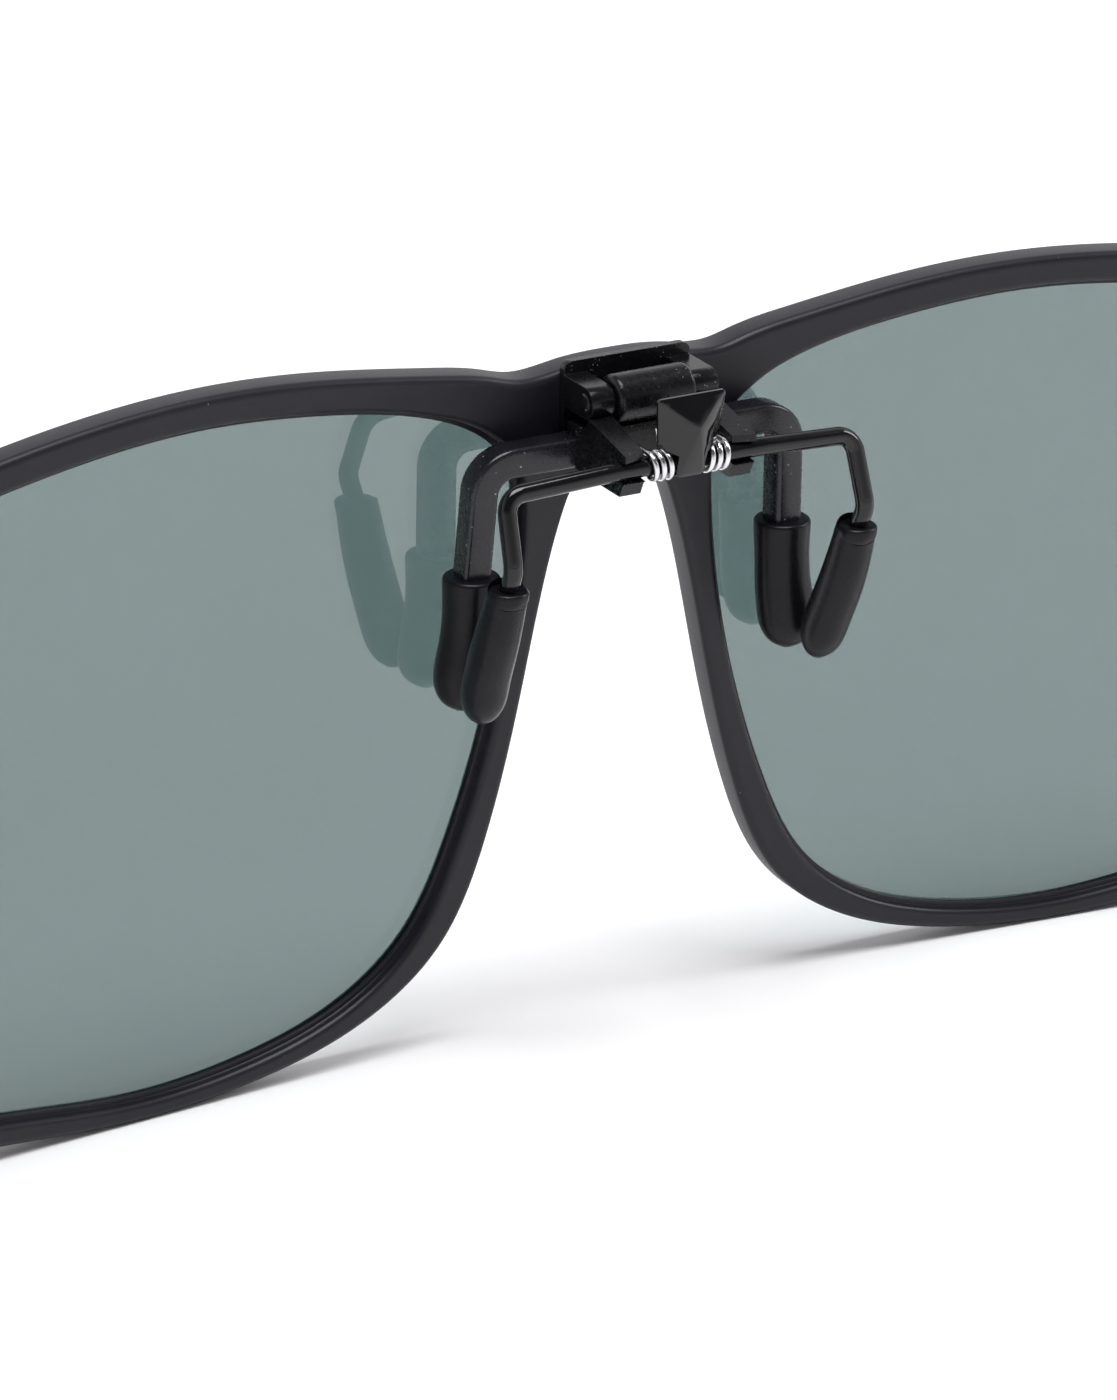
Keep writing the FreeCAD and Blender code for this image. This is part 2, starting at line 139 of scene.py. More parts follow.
def fit(obj, body, node):
    """Let a finished piece stand for its design node, on that node's body."""
    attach(obj, body)
    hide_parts(node)
    faces = len(obj.data.polygons)
    print(f"{obj.name}: {faces} faces on {body}")
    return obj


def finished_piece(name, points, faces, angle, material, body, node):
    """Turn points and faces into a smooth piece that stands for a design node."""
    obj = tidy(mesh_object(name, points, faces))
    smooth(obj, angle)
    obj.data.materials.append(material)
    return fit(obj, body, node)


def quads_between(faces, low, high, count):
    """Faces between two rings of `count` points, whose first points are low and high."""
    for k in range(count):
        after = (k + 1) % count
        faces.append((low + k, low + after, high + after, high + k))


def end_caps(points, faces, first, count):
    """Close a tube of rings of `count` points, from ring `first` to the last ring made."""
    faces.append(tuple(range(first + count - 1, first - 1, -1)))
    faces.append(tuple(range(len(points) - count, len(points))))


def copy_of(node, name):
    """A merged copy of a design node's mesh, to work on."""
    obj = add_object(name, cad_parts[node].data.copy())
    obj.data.materials.clear()
    return tidy(obj, 0.002)


# %% [markdown]
# ## Small helpers for nodes
# Node trees are written as calls that give each node its inputs by name. An input is either another
# node's output, which is linked, or a constant, which is set.

# %% Helpers for nodes


def set_input(tree, socket, value):
    if isinstance(value, bpy.types.NodeSocket):
        tree.links.new(value, socket)
    else:
        socket.default_value = value


def fill_inputs(tree, node, **values):
    """Link or set inputs by name, where an underscore stands for a space."""
    for label, value in values.items():
        set_input(tree, node.inputs[label.replace("_", " ")], value)
    return node


def add_node(tree, kind, **values):
    return fill_inputs(tree, tree.nodes.new(kind), **values)


def math_node(tree, operation, first, second=None, clamp=False):
    node = tree.nodes.new("ShaderNodeMath")
    node.operation = operation
    node.use_clamp = clamp
    for index, value in enumerate((first, second)):
        if value is not None:
            set_input(tree, node.inputs[index], value)
    return node.outputs[0]


def spread(tree, value, low, high, to_low=0.0, to_high=1.0):
    """Spread low..high over to_low..to_high, and no further."""
    node = tree.nodes.new("ShaderNodeMapRange")
    for index, number in enumerate((value, low, high, to_low, to_high)):
        set_input(tree, node.inputs[index], number)
    return node.outputs[0]


def mixed(tree, mask, first, second):
    """The first colour where the mask is 0, the second where it is 1."""
    node = tree.nodes.new("ShaderNodeMix")
    node.data_type = "RGBA"
    for index, value in ((0, mask), (6, first), (7, second)):
        set_input(tree, node.inputs[index], value)
    return node.outputs[2]


def two_tone(tree, mask, low, high, first, second):
    """A ramp from the first colour, where the mask is low, to the second, where it is high."""
    ramp = tree.nodes.new("ShaderNodeValToRGB")
    for element, place, colour in zip(ramp.color_ramp.elements, (low, high), (first, second)):
        element.position = place
        element.color = (*colour, 1)
    tree.links.new(mask, ramp.inputs[0])
    return ramp.outputs[0]


def new_material(name):
    material = bpy.data.materials.new(name)
    material.use_nodes = True
    return material, material.node_tree, material.node_tree.nodes["Principled BSDF"]


# %% [markdown]
# ## Camera
# The view is from behind and a little above, through a long lens, so the near and far rims are
# almost the same size. The distances are in millimetres from the bridge datum.

# %% Camera
AZIMUTH, ELEVATION, ROLL = 150.14, 22.01, 0.97
LENS_MM = 178.6
DISTANCE, ASIDE, BELOW = 416.6, -3.834, -20.88


def set_camera():
    a, e, r = (math.radians(v) for v in (AZIMUTH, ELEVATION, ROLL))
    back = Vector((math.sin(a) * math.cos(e), -math.cos(a) * math.cos(e), math.sin(e)))
    side = Vector((math.cos(a), math.sin(a), 0))
    up = back.cross(side)
    right = side * math.cos(r) + up * math.sin(r)
    top = up * math.cos(r) - side * math.sin(r)
    data = bpy.data.cameras.new("camera")
    data.lens = LENS_MM
    data.sensor_width = 36
    data.clip_start, data.clip_end = 0.01, 50
    camera = add_object("camera", data)
    place = back * DISTANCE + right * ASIDE + top * BELOW
    turn = Matrix((right, top, back)).transposed()
    camera.matrix_world = Matrix.Translation(at(*place)) @ turn.to_4x4()
    bpy.context.scene.camera = camera


set_camera()

# %% [markdown]
# ## Stage and light
# The object stands on a white sweep. The floor and the horizon are white and the ceiling is dim, so
# glossy black faces that look up stay black while those that look down catch the bright floor. A
# soft lamp overhead lays a pale shadow under the rims, and a smaller one at the side draws it out.

# %% Stage and light


def world_light():
    """White all round the horizon, higher up on the backdrop's side than on the camera's."""
    world = bpy.data.worlds.new("tent")
    bpy.context.scene.world = world
    world.use_nodes = True
    tree = world.node_tree
    tree.nodes.clear()
    place = add_node(tree, "ShaderNodeTexCoord").outputs["Generated"]
    split = add_node(tree, "ShaderNodeSeparateXYZ", Vector=place)
    ramps = []
    for start, stop, dim in ((0.52, 0.84, 0.16), (0.10, 0.42, 0.10)):
        ramps.append(two_tone(tree, split.outputs["Z"], start, stop, (1.0, 0.98, 1.0),
                              (dim, dim, dim * 1.06)))
    camera_side = spread(tree, split.outputs["Y"], -0.25, 0.35)
    glow = add_node(tree, "ShaderNodeBackground", Color=mixed(tree, camera_side, *ramps),
                    Strength=1.04)
    add_node(tree, "ShaderNodeOutputWorld", Surface=glow.outputs[0])


def lamp(name, place, target, size, watts):
    data = bpy.data.lights.new(name, "AREA")
    data.shape = "RECTANGLE"
    data.size, data.size_y = size
    data.energy = watts
    obj = add_object(name, data)
    obj.location = place
    obj.rotation_euler = (Vector(target) - Vector(place)).to_track_quat("-Z", "Y").to_euler()


def white_floor():
    half = 3.0
    mesh = bpy.data.meshes.new("floor")
    mesh.from_pydata([(-half, -half, 0), (half, -half, 0), (half, half, 0), (-half, half, 0)],
                     [], [(0, 1, 2, 3)])
    floor = add_object("floor", mesh)
    paper, tree, shader = new_material("floor_paper")
    fill_inputs(tree, shader, Base_Color=(0.93, 0.93, 0.935, 1), Roughness=0.9,
                Specular_IOR_Level=0.0)
    floor.data.materials.append(paper)


world_light()
white_floor()
lamp("overhead", (0.05, 0.10, 0.9), (0, 0, 0.0), (0.60, 0.45), 8.2)
lamp("side", (-0.75, 0.14, 0.46), (0, 0, 0.02), (0.22, 0.40), 2.4)
bpy.context.scene.view_settings.view_transform = "Standard"

# %% [markdown]
# ## Shader groups
# Three effects are shared. `moulded_grain` is the faint uneven skin of moulded plastic and of sprayed
# paint. `rough_specks` is a scatter of tiny spots: as bumps they are pits on parts that were
# tumbled or cut, and in the base colour they are painted highlights, light glint spots.
# `fine_scratches` is a few hair-thin marks. Each is a group with its own sizes, so one effect can be
# fine on one material and coarse on another. They read Object coordinates, which are metres here.

# %% Shader groups


def new_group(name, inputs, outputs):
    group = bpy.data.node_groups.new(name, "ShaderNodeTree")
    for label, value in inputs:
        socket = group.interface.new_socket(label, in_out="INPUT", socket_type="NodeSocketFloat")
        socket.default_value = value
    for label in outputs:
        group.interface.new_socket(label, in_out="OUTPUT", socket_type="NodeSocketFloat")
    return group, group.nodes.new("NodeGroupInput"), group.nodes.new("NodeGroupOutput")


def noise_node(tree, place, scale, detail=2.0, rough=0.5):
    node = add_node(tree, "ShaderNodeTexNoise", Vector=place, Scale=scale, Detail=detail,
                    Roughness=rough)
    return node.outputs["Fac"]


def moulded_grain():
    group, given, out = new_group(
        "moulded_grain", [("Grains per metre", 9000), ("Clouds per metre", 300)],
        ["Height", "Clouds", "Grain"])
    place = group.nodes.new("ShaderNodeTexCoord").outputs["Object"]
    fine = noise_node(group, place, given.outputs[0], 3.0, 0.65)
    clouds = noise_node(group, place, given.outputs[1], 3.0, 0.55)
    height = math_node(group, "ADD", math_node(group, "MULTIPLY", fine, 0.8),
                       math_node(group, "MULTIPLY", clouds, 0.2))
    fill_inputs(group, out, Height=height, Clouds=clouds, Grain=fine)
    return group


# A mask of tiny spots. finish uses it as pits in the bump and as painted highlights: light glint spots
# in the base colour.
def rough_specks():
    group, given, out = new_group(
        "rough_specks", [("Specks per metre", 6000), ("Amount", 0.5)], ["Mask"])
    place = group.nodes.new("ShaderNodeTexCoord").outputs["Object"]
    cells = add_node(group, "ShaderNodeTexVoronoi", Vector=place, Scale=given.outputs[0])
    near = spread(group, cells.outputs["Distance"], 0.12, 0.34, 1.0, 0.0)
    chance = add_node(group, "ShaderNodeSeparateColor", Color=cells.outputs["Color"])
    chosen = math_node(group, "LESS_THAN", chance.outputs[0], given.outputs[1])
    mask = math_node(group, "MULTIPLY", near, chosen, clamp=True)
    group.links.new(mask, out.inputs[0])
    return group


def fine_scratches():
    group, given, out = new_group(
        "fine_scratches", [("Lines per metre", 900), ("Amount", 0.5)], ["Mask"])
    place = group.nodes.new("ShaderNodeTexCoord").outputs["Object"]
    turn = add_node(group, "ShaderNodeMapping", Vector=place, Rotation=(0.3, 0.5, 0.2),
                    Scale=(1.0, 1.0, 0.04))
    lines = noise_node(group, turn.outputs[0], math_node(group, "MULTIPLY", given.outputs[0], 8.0),
                       1.0, 0.5)
    thin = spread(group, lines, 0.70, 0.74)
    patches = noise_node(group, place, given.outputs[0], 2.0, 0.5)
    limit = math_node(group, "SUBTRACT", 0.74, math_node(group, "MULTIPLY", given.outputs[1], 0.2))
    chosen = math_node(group, "GREATER_THAN", patches, limit)
    group.links.new(math_node(group, "MULTIPLY", thin, chosen, clamp=True), out.inputs[0])
    return group


GRAIN = moulded_grain()
SPECKS_AND_GLINTS = rough_specks()
SCRATCHES = fine_scratches()
print("groups:", [group.name for group in (GRAIN, SPECKS_AND_GLINTS, SCRATCHES)])

# %% [markdown]
# ## Finishes
# All the opaque parts are nearly black, and what tells them apart is gloss: the front is matt moulded
# plastic, the clip's body is satin, the wire and the lever are glossy, and the sleeves are soft
# rubber. `finish` makes such a material from a few numbers and the groups above. The lenses are real
# glass solids, so what lies behind them is tinted once at each face.

# %% Opaque finishes


def add_group(tree, group, **values):
    node = tree.nodes.new("ShaderNodeGroup")
    node.node_tree = group
    return fill_inputs(tree, node, **values)


def finish(name, colour, tint, rough, rough_spread, bump, grains, clouds=300, specks=None,
           painted_glints=None, scratch=0.0, metal=0.0, specular=0.5):
    """colour to tint over the clouds, rough +- rough_spread over the grain, bump height in mm.

    specks are (per metre, share, height) pits; painted_glints are (per metre, share) painted highlights."""
    material, tree, shader = new_material(name)
    grain = add_group(tree, GRAIN, Grains_per_metre=grains, Clouds_per_metre=clouds)
    colour_out = two_tone(tree, grain.outputs["Clouds"], 0.35, 0.65, colour, tint)
    rough_out = spread(tree, grain.outputs["Grain"], 0.3, 0.7, rough - rough_spread,
                       rough + rough_spread)
    height = math_node(tree, "MULTIPLY", grain.outputs["Height"], 1.0)
    if specks:
        per_metre, amount, gain = specks
        spots = add_group(tree, SPECKS_AND_GLINTS, Specks_per_metre=per_metre, Amount=amount)
        height = math_node(tree, "ADD", height, math_node(tree, "MULTIPLY", spots.outputs[0], gain))
    # Painted highlights: small light spots mixed into the base colour, in cloud patches, standing in for
    # lamp glint.
    if painted_glints:
        per_metre, amount = painted_glints
        spots = add_group(tree, SPECKS_AND_GLINTS, Specks_per_metre=per_metre, Amount=amount)
        patches = spread(tree, grain.outputs["Clouds"], 0.52, 0.60)
        bright = math_node(tree, "MULTIPLY", spots.outputs[0], patches)
        colour_out = mixed(tree, bright, colour_out, (0.34, 0.34, 0.35, 1))
    if scratch:
        marks = add_group(tree, SCRATCHES, Amount=scratch)
        colour_out = mixed(tree, marks.outputs[0], colour_out, (0.25, 0.25, 0.26, 1))
    bumps = add_node(tree, "ShaderNodeBump", Strength=1.0, Distance=bump * MM, Height=height)
    fill_inputs(tree, shader, Normal=bumps.outputs[0], Base_Color=colour_out, Roughness=rough_out,
                Specular_IOR_Level=specular, Metallic=metal)
    return material


MATT_FRAME = finish("matt_frame", (0.0064, 0.0060, 0.0105), (0.0088, 0.0084, 0.0135), 0.40, 0.05,
                    0.0035, 9000, specks=(5200, 0.30, 0.5), scratch=0.22, specular=0.33)
# Black metal, clip plastic and arm paint carry painted highlights: tiny light glint spots in their base
# colour.
BLACK_METAL = finish("black_metal", (0.0036, 0.0036, 0.0046), (0.0060, 0.0060, 0.0075), 0.22, 0.06,
                     0.0034, 4200, clouds=700, specks=(3000, 0.40, 2.6), painted_glints=(6800, 0.16),
                     scratch=0.3, specular=0.30)
CLIP_PLASTIC = finish("clip_plastic", (0.0036, 0.0036, 0.0046), (0.0060, 0.0060, 0.0075), 0.28, 0.07,
                      0.0046, 3400, clouds=600, specks=(2800, 0.40, 2.6), painted_glints=(6200, 0.15),
                      scratch=0.3, specular=0.28)
ARM_PAINT = finish("arm_paint", (0.0065, 0.0062, 0.0095), (0.010, 0.0098, 0.0135), 0.26, 0.05,
                   0.0018, 4500, clouds=520, specks=(2600, 0.16, 3.0), painted_glints=(4200, 0.07),
                   scratch=0.3, specular=0.42)
SOFT_SLEEVE = finish("soft_sleeve", (0.0036, 0.0034, 0.0052), (0.0060, 0.0057, 0.0080), 0.32, 0.06,
                     0.0040, 4200, clouds=420, specks=(2400, 0.14, 1.0), specular=0.21)
WIRE_GLOSS = finish("wire_gloss", (0.0030, 0.0030, 0.0038), (0.0055, 0.0055, 0.0068), 0.12, 0.04,
                    0.0015, 4200, specks=(2600, 0.12, 1.2), specular=0.42)
LEVER_GLOSS = finish("lever_gloss", (0.0030, 0.0030, 0.0036), (0.0048, 0.0048, 0.0058), 0.07, 0.03,
                     0.0006, 5000, specks=(3000, 0.05, 0.8), scratch=0.2, specular=0.5)
SPRING_STEEL = finish("spring_steel", (0.62, 0.62, 0.64), (0.78, 0.78, 0.79), 0.20, 0.06,
                      0.002, 9000, metal=1.0)
print("finishes made:", len(bpy.data.materials))

# %% [markdown]
# The lens is grey-green. Glass in a solid tints light at each face it passes, so the colour of one
# face is the square root of what the whole lens lets through. A clear coat adds the stronger gloss of
# a hard-coated lens. Light that only makes shadows goes straight through, tinted, so that the floor
# behind the lenses stays light.

# %% Lens material


def lens_material():
    material, tree, shader = new_material("lens_tint")
    clouds = add_group(tree, GRAIN, Grains_per_metre=2500, Clouds_per_metre=60).outputs["Clouds"]
    tint = two_tone(tree, clouds, 0.3, 0.7, (0.097, 0.146, 0.144), (0.101, 0.151, 0.150))
    rough = spread(tree, clouds, 0.3, 0.7, 0.0, 0.012)
    fill_inputs(tree, shader, Base_Color=tint, Roughness=rough, Transmission_Weight=1.0, IOR=1.5,
                Coat_Weight=1.0, Coat_Roughness=0.0, Coat_IOR=1.62)
    through = add_node(tree, "ShaderNodeBsdfTransparent", Color=(0.42, 0.50, 0.50, 1))
    shadow_ray = add_node(tree, "ShaderNodeLightPath").outputs["Is Shadow Ray"]
    pick = tree.nodes.new("ShaderNodeMixShader")
    for index, value in enumerate((shadow_ray, shader.outputs[0], through.outputs[0])):
        set_input(tree, pick.inputs[index], value)
    fill_inputs(tree, tree.nodes["Material Output"], Surface=pick.outputs[0])
    return material


LENS_TINT = lens_material()

# %% [markdown]
# ## Outlines
# The front and the lenses are cut from outlines drawn with a few listed points. `curve_through`
# runs a smooth cubic through them, as a spline tool does, and hands back evenly spaced places. A
# closed outline repeats, and an open one leaves and arrives level, so that its mirrored half joins
# without a kink.

# %% Smooth outlines
FACE_RADIUS = 385.0
FRAME_DEPTH = 2.4
EDGE_ROUND = 0.5
LENS_RECESS = 1.1
LENS_THICKNESS = 0.9
GROOVE = 0.6
GROOVE_PLAY = 0.03

OUTER_EDGE = [
    (0.0, -0.3), (3.4, -0.46), (6.9, -0.76), (8.8, -0.28), (12.5, 0.42), (20.0, 1.45),
    (28.0, 1.9), (40.9, 0.8), (51.5, -1.2), (60.5, -3.8), (67.1, -8.1), (70.2, -14.6),
    (70.6, -21.8), (68.8, -29.7), (64.6, -36.2), (57.8, -40.3), (50.3, -41.8), (43.0, -42.4),
    (33.5, -43.2), (25.5, -42.7), (17.2, -40.4), (12.0, -36.5), (8.9, -30.2), (6.55, -21.3),
    (4.85, -13.5), (3.75, -9.7), (2.4, -7.35), (0.0, -6.6),
]

OPENING_EDGE = [
    (6.6, -9.5), (7.0, -6.3), (9.2, -3.75), (12.8, -2.05), (20.0, -0.6), (28.5, 0.0), (40.9, -1.2),
    (51.0, -3.2), (59.5, -5.9), (65.2, -9.8), (67.8, -15.2), (68.1, -21.6), (66.5, -28.8),
    (63.0, -34.6), (57.0, -38.4), (50.0, -40.2), (42.5, -41.0), (33.5, -42.0), (25.3, -41.4),
    (18.4, -39.25), (13.9, -35.7), (11.0, -30.3), (8.45, -22.5), (6.95, -14.5),
]


def curve_through(points, spacing, closed=False, level_ends=False):
    """Evenly spaced places along a cubic spline through the points."""
    given = np.array(points, dtype=float)
    if closed:
        given = np.vstack([given, given[:1]])
    count = len(given)
    step = np.linalg.norm(np.diff(given, axis=0), axis=1)
    knots = np.concatenate([[0], np.cumsum(step)])
    system = np.zeros((count, count))
    right = np.zeros((count, given.shape[1]))
    slopes = np.diff(given, axis=0) / step[:, None]
    for i in range(1, count - 1):
        system[i, i - 1] = step[i]
        system[i, i] = 2 * (step[i - 1] + step[i])
        system[i, i + 1] = step[i - 1]
        right[i] = 3 * (step[i] * slopes[i - 1] + step[i - 1] * slopes[i])
    if closed:
        system[0, 0] = 1
        system[0, -1] = -1
        system[-1, 0] = 2 * (step[-1] + step[0])
        system[-1, 1] = step[-1]
        system[-1, -2] = step[0]
        right[-1] = 3 * (step[0] * slopes[-1] + step[-1] * slopes[0])
    else:
        system[0, 0] = system[-1, -1] = 1
        right[0] = (1, 0) if level_ends else slopes[0]
        right[-1] = (-1, 0) if level_ends else slopes[-1]
    tangents = np.linalg.solve(system, right)
    fine = []
    for i in range(count - 1):
        t = np.linspace(0, 1, 60, endpoint=False)[:, None]
        h = step[i]
        leave, arrive = h * tangents[i], h * tangents[i + 1]
        fine.append((2 * t ** 3 - 3 * t ** 2 + 1) * given[i] + (t ** 3 - 2 * t ** 2 + t) * leave
                    + (3 * t ** 2 - 2 * t ** 3) * given[i + 1] + (t ** 3 - t ** 2) * arrive)
    fine = np.vstack(fine + [given[-1:]])
    length = np.concatenate([[0], np.cumsum(np.linalg.norm(np.diff(fine, axis=0), axis=1))])
    pieces = max(int(round(length[-1] / spacing)), 8)
    stops = np.linspace(0, length[-1], pieces + 1)
    even = np.stack([np.interp(stops, length, fine[:, k]) for k in range(fine.shape[1])], axis=1)
    return even[:-1] if closed else even


def sideways(loop):
    """Unit normals of a closed plane loop, to the left of its direction."""
    along = np.roll(loop, -1, axis=0) - np.roll(loop, 1, axis=0)
    along /= np.linalg.norm(along, axis=1)[:, None]
    return np.stack([-along[:, 1], along[:, 0]], axis=1)


def area_of(loop):
    ahead = np.roll(loop, -1, axis=0)
    return 0.5 * np.sum(loop[:, 0] * ahead[:, 1] - ahead[:, 0] * loop[:, 1])


def on_front(x, z, depth):
    """A place on the curved front, at a depth counted from its back face."""
    return (x, FACE_RADIUS - math.sqrt((FACE_RADIUS + depth) ** 2 - x * x), z)


def inside(loop, places):
    """Which of the places lie inside a closed plane loop."""
    hit = np.zeros(len(places), dtype=bool)
    x, z = places[:, 0], places[:, 1]
    ahead = np.roll(loop, -1, axis=0)
    for (x0, z0), (x1, z1) in zip(loop, ahead):
        crosses = (z0 > z) != (z1 > z)
        if not crosses.any():
            continue
        at_x = x0 + (z - z0) / (z1 - z0 if z1 != z0 else 1e-12) * (x1 - x0)
        hit ^= crosses & (x < at_x)
    return hit


right_half = curve_through(OUTER_EDGE, 0.45, level_ends=True)
left_half = right_half[::-1][1:-1] * np.array([-1, 1])
OUTER_LOOP = np.vstack([right_half, left_half])
RIGHT_OPENING = curve_through(OPENING_EDGE, 0.4, closed=True)
LEFT_OPENING = RIGHT_OPENING[::-1] * np.array([-1, 1])
print("outline points:", len(OUTER_LOOP), len(RIGHT_OPENING),
      "areas:", round(area_of(OUTER_LOOP), 1), round(area_of(RIGHT_OPENING), 1))

# %% [markdown]
# ## Front frame
# The front is one moulding, 2.4 mm deep, with softly rounded outer edges. Each opening has a rounded
# lip, then a wall, a narrow ledge against the lens, and a groove that the lens edge sits in. A wall
# is made by moving its outline along a small profile of (outwards, depth) pairs, one ring of points
# for each pair. The two faces are then filled between the rings with a triangulation that also
# takes a grid of inner points, so that the faces follow the curve of the front.

# %% Front frame


def rounded(radius, steps, start_depth=0.0):
    """(outwards, depth) pairs of a quarter round that starts flat on the face."""
    pairs = []
    for k in range(steps + 1):
        a = math.radians(90 * k / steps)
        pairs.append((radius - radius * math.sin(a), start_depth + radius - radius * math.cos(a)))
    return pairs


LIP_ROUND = 0.40
LEDGE = 0.34
GROOVE_END = GROOVE + GROOVE_PLAY
GROOVE_BACK = LENS_RECESS - GROOVE_PLAY
GROOVE_FRONT = LENS_RECESS + LENS_THICKNESS + GROOVE_PLAY
FACE_GRID, LENS_GRID = 1.1, 1.6
lip = rounded(LIP_ROUND, 6)
front_lip = [(out, FRAME_DEPTH - depth) for out, depth in reversed(rounded(0.18, 3))]
OPENING_PROFILE = ([(LIP_ROUND + 0.05, 0.0)] + lip
                   + [(0.0, 0.74), (-0.03, 0.78), (-LEDGE + 0.04, 0.80), (-LEDGE, 0.84),
                      (-LEDGE, GROOVE_BACK), (GROOVE_END, GROOVE_BACK),
                      (GROOVE_END, GROOVE_FRONT), (0.0, GROOVE_FRONT)]
                   + front_lip + [(0.23, FRAME_DEPTH)])
edge = [(-out, depth) for out, depth in rounded(EDGE_ROUND, 6)]
OUTER_PROFILE = ([(-EDGE_ROUND - 0.05, 0.0)] + edge
                 + [(out, FRAME_DEPTH - depth) for out, depth in reversed(edge)]
                 + [(-EDGE_ROUND - 0.05, FRAME_DEPTH)])


def ring_walls(points, faces, loop, profile):
    """Rings of points along a profile about a loop, and the faces between them."""
    outwards = sideways(loop) * (-1 if area_of(loop) > 0 else 1)
    size = len(loop)
    first = len(points)
    for out, depth in profile:
        for (x, z), (nx, nz) in zip(loop, outwards):
            points.append(on_front(x + nx * out, z + nz * out, depth))
    for ring in range(len(profile) - 1):
        low = first + ring * size
        quads_between(faces, low, low + size, size)
    return loop + outwards * profile[0][0], loop + outwards * profile[-1][0]


def filled_face(points, faces, outer, holes, depth, grid):
    """Triangles between an outer loop and holes, with a grid of inner points."""
    low, high = outer.min(axis=0), outer.max(axis=0)
    xs = np.arange(low[0] + grid / 2, high[0], grid)
    zs = np.arange(low[1] + grid / 2, high[1], grid)
    lattice = np.array([(x, z) for x in xs for z in zs])
    keep = inside(outer, lattice)
    for hole in holes:
        keep &= ~inside(hole, lattice)
    lattice = lattice[keep]
    for loop in [outer] + holes:
        near = np.ones(len(lattice), dtype=bool)
        for start in range(0, len(loop), 64):
            gap = np.linalg.norm(lattice[:, None] - loop[None, start:start + 64], axis=2)
            near &= gap.min(axis=1) > grid * 0.45
        lattice = lattice[near]
    flat = [Vector(p) for loop in [outer] + holes for p in loop] + [Vector(p) for p in lattice]
    edges = []
    start = 0
    for loop in [outer] + holes:
        edges += [(start + k, start + (k + 1) % len(loop)) for k in range(len(loop))]
        start += len(loop)
    places, _, triangles, _, _, _ = delaunay_2d_cdt(flat, edges, [], 0, 1e-7)
    centres = np.array([sum((places[i] for i in t), Vector((0, 0))) / 3 for t in triangles])
    keep = inside(outer, centres)
    for hole in holes:
        keep &= ~inside(hole, centres)
    first = len(points)
    points += [on_front(p.x, p.y, depth) for p in places]
    faces += [tuple(first + i for i in t) for t, wanted in zip(triangles, keep) if wanted]


def make_front():
    points, faces = [], []
    outer_back, outer_front = ring_walls(points, faces, OUTER_LOOP, OUTER_PROFILE)
    backs, fronts = [], []
    for opening in (RIGHT_OPENING, LEFT_OPENING):
        back, front = ring_walls(points, faces, opening, OPENING_PROFILE)
        backs.append(back)
        fronts.append(front)
    filled_face(points, faces, outer_back, backs, 0.0, FACE_GRID)
    filled_face(points, faces, outer_front, fronts, FRAME_DEPTH, FACE_GRID)
    front = finished_piece("front_moulding", points, faces, 40, MATT_FRAME, "front", "front_frame")
    print("front open edges:", open_edges(front))


def open_edges(obj):
    bm = bmesh.new()
    bm.from_mesh(obj.data)
    count = sum(1 for edge in bm.edges if len(edge.link_faces) != 2)
    bm.free()
    return count


make_front()

# %% [markdown]
# ## Lenses
# Each lens is a thin curved shell, 0.9 mm thick, whose edge sits in the groove of its rim. It shows
# the world behind it and mirrors the arms and sleeves that hang in front of it, so both faces need
# a fine, even grid to keep those pictures straight.

# %% Lenses


def make_lens(side, opening):
    points, faces = [], []
    back_depth, front_depth = LENS_RECESS, LENS_RECESS + LENS_THICKNESS
    out, chamfer = GROOVE - 0.02, 0.08
    profile = [(out - chamfer, back_depth), (out, back_depth + chamfer),
               (out, front_depth - chamfer), (out - chamfer, front_depth)]
    back, front = ring_walls(points, faces, opening, profile)
    filled_face(points, faces, back, [], back_depth, LENS_GRID)
    filled_face(points, faces, front, [], front_depth, LENS_GRID)
    finished_piece(f"{side}_lens_glass", points, faces, 30, LENS_TINT, "front", f"lens_{side}")


make_lens("right", RIGHT_OPENING)
make_lens("left", LEFT_OPENING)

# %% [markdown]
# ## Hinge and clip body
# The hinge plate, the detent leaf and the clip's block are flat-sided parts whose shape in the
# design model is right. What they lack is worn edges. A merged copy of each gets a small bevel,
# which gives every edge the thin bright line that real parts show. The pin is turned anew, with low
# domed heads.

# %% Bevelled hinge parts


def mark_edges(obj, chosen):
    """Give a bevel weight to the edges whose middle, in mm about the datum, passes the test."""
    count = 0
    with opened(obj) as bm:
        layers = bm.edges.layers.float
        weight = layers.get("bevel_weight_edge") or layers.new("bevel_weight_edge")
        for edge in bm.edges:
            start, end = (vert.co for vert in edge.verts)
            if chosen((start + end) / 2 / MM - datum, (end - start).normalized()):
                edge[weight] = 1.0
                count += 1
    print(f"{obj.name}: {count} edges rounded more")


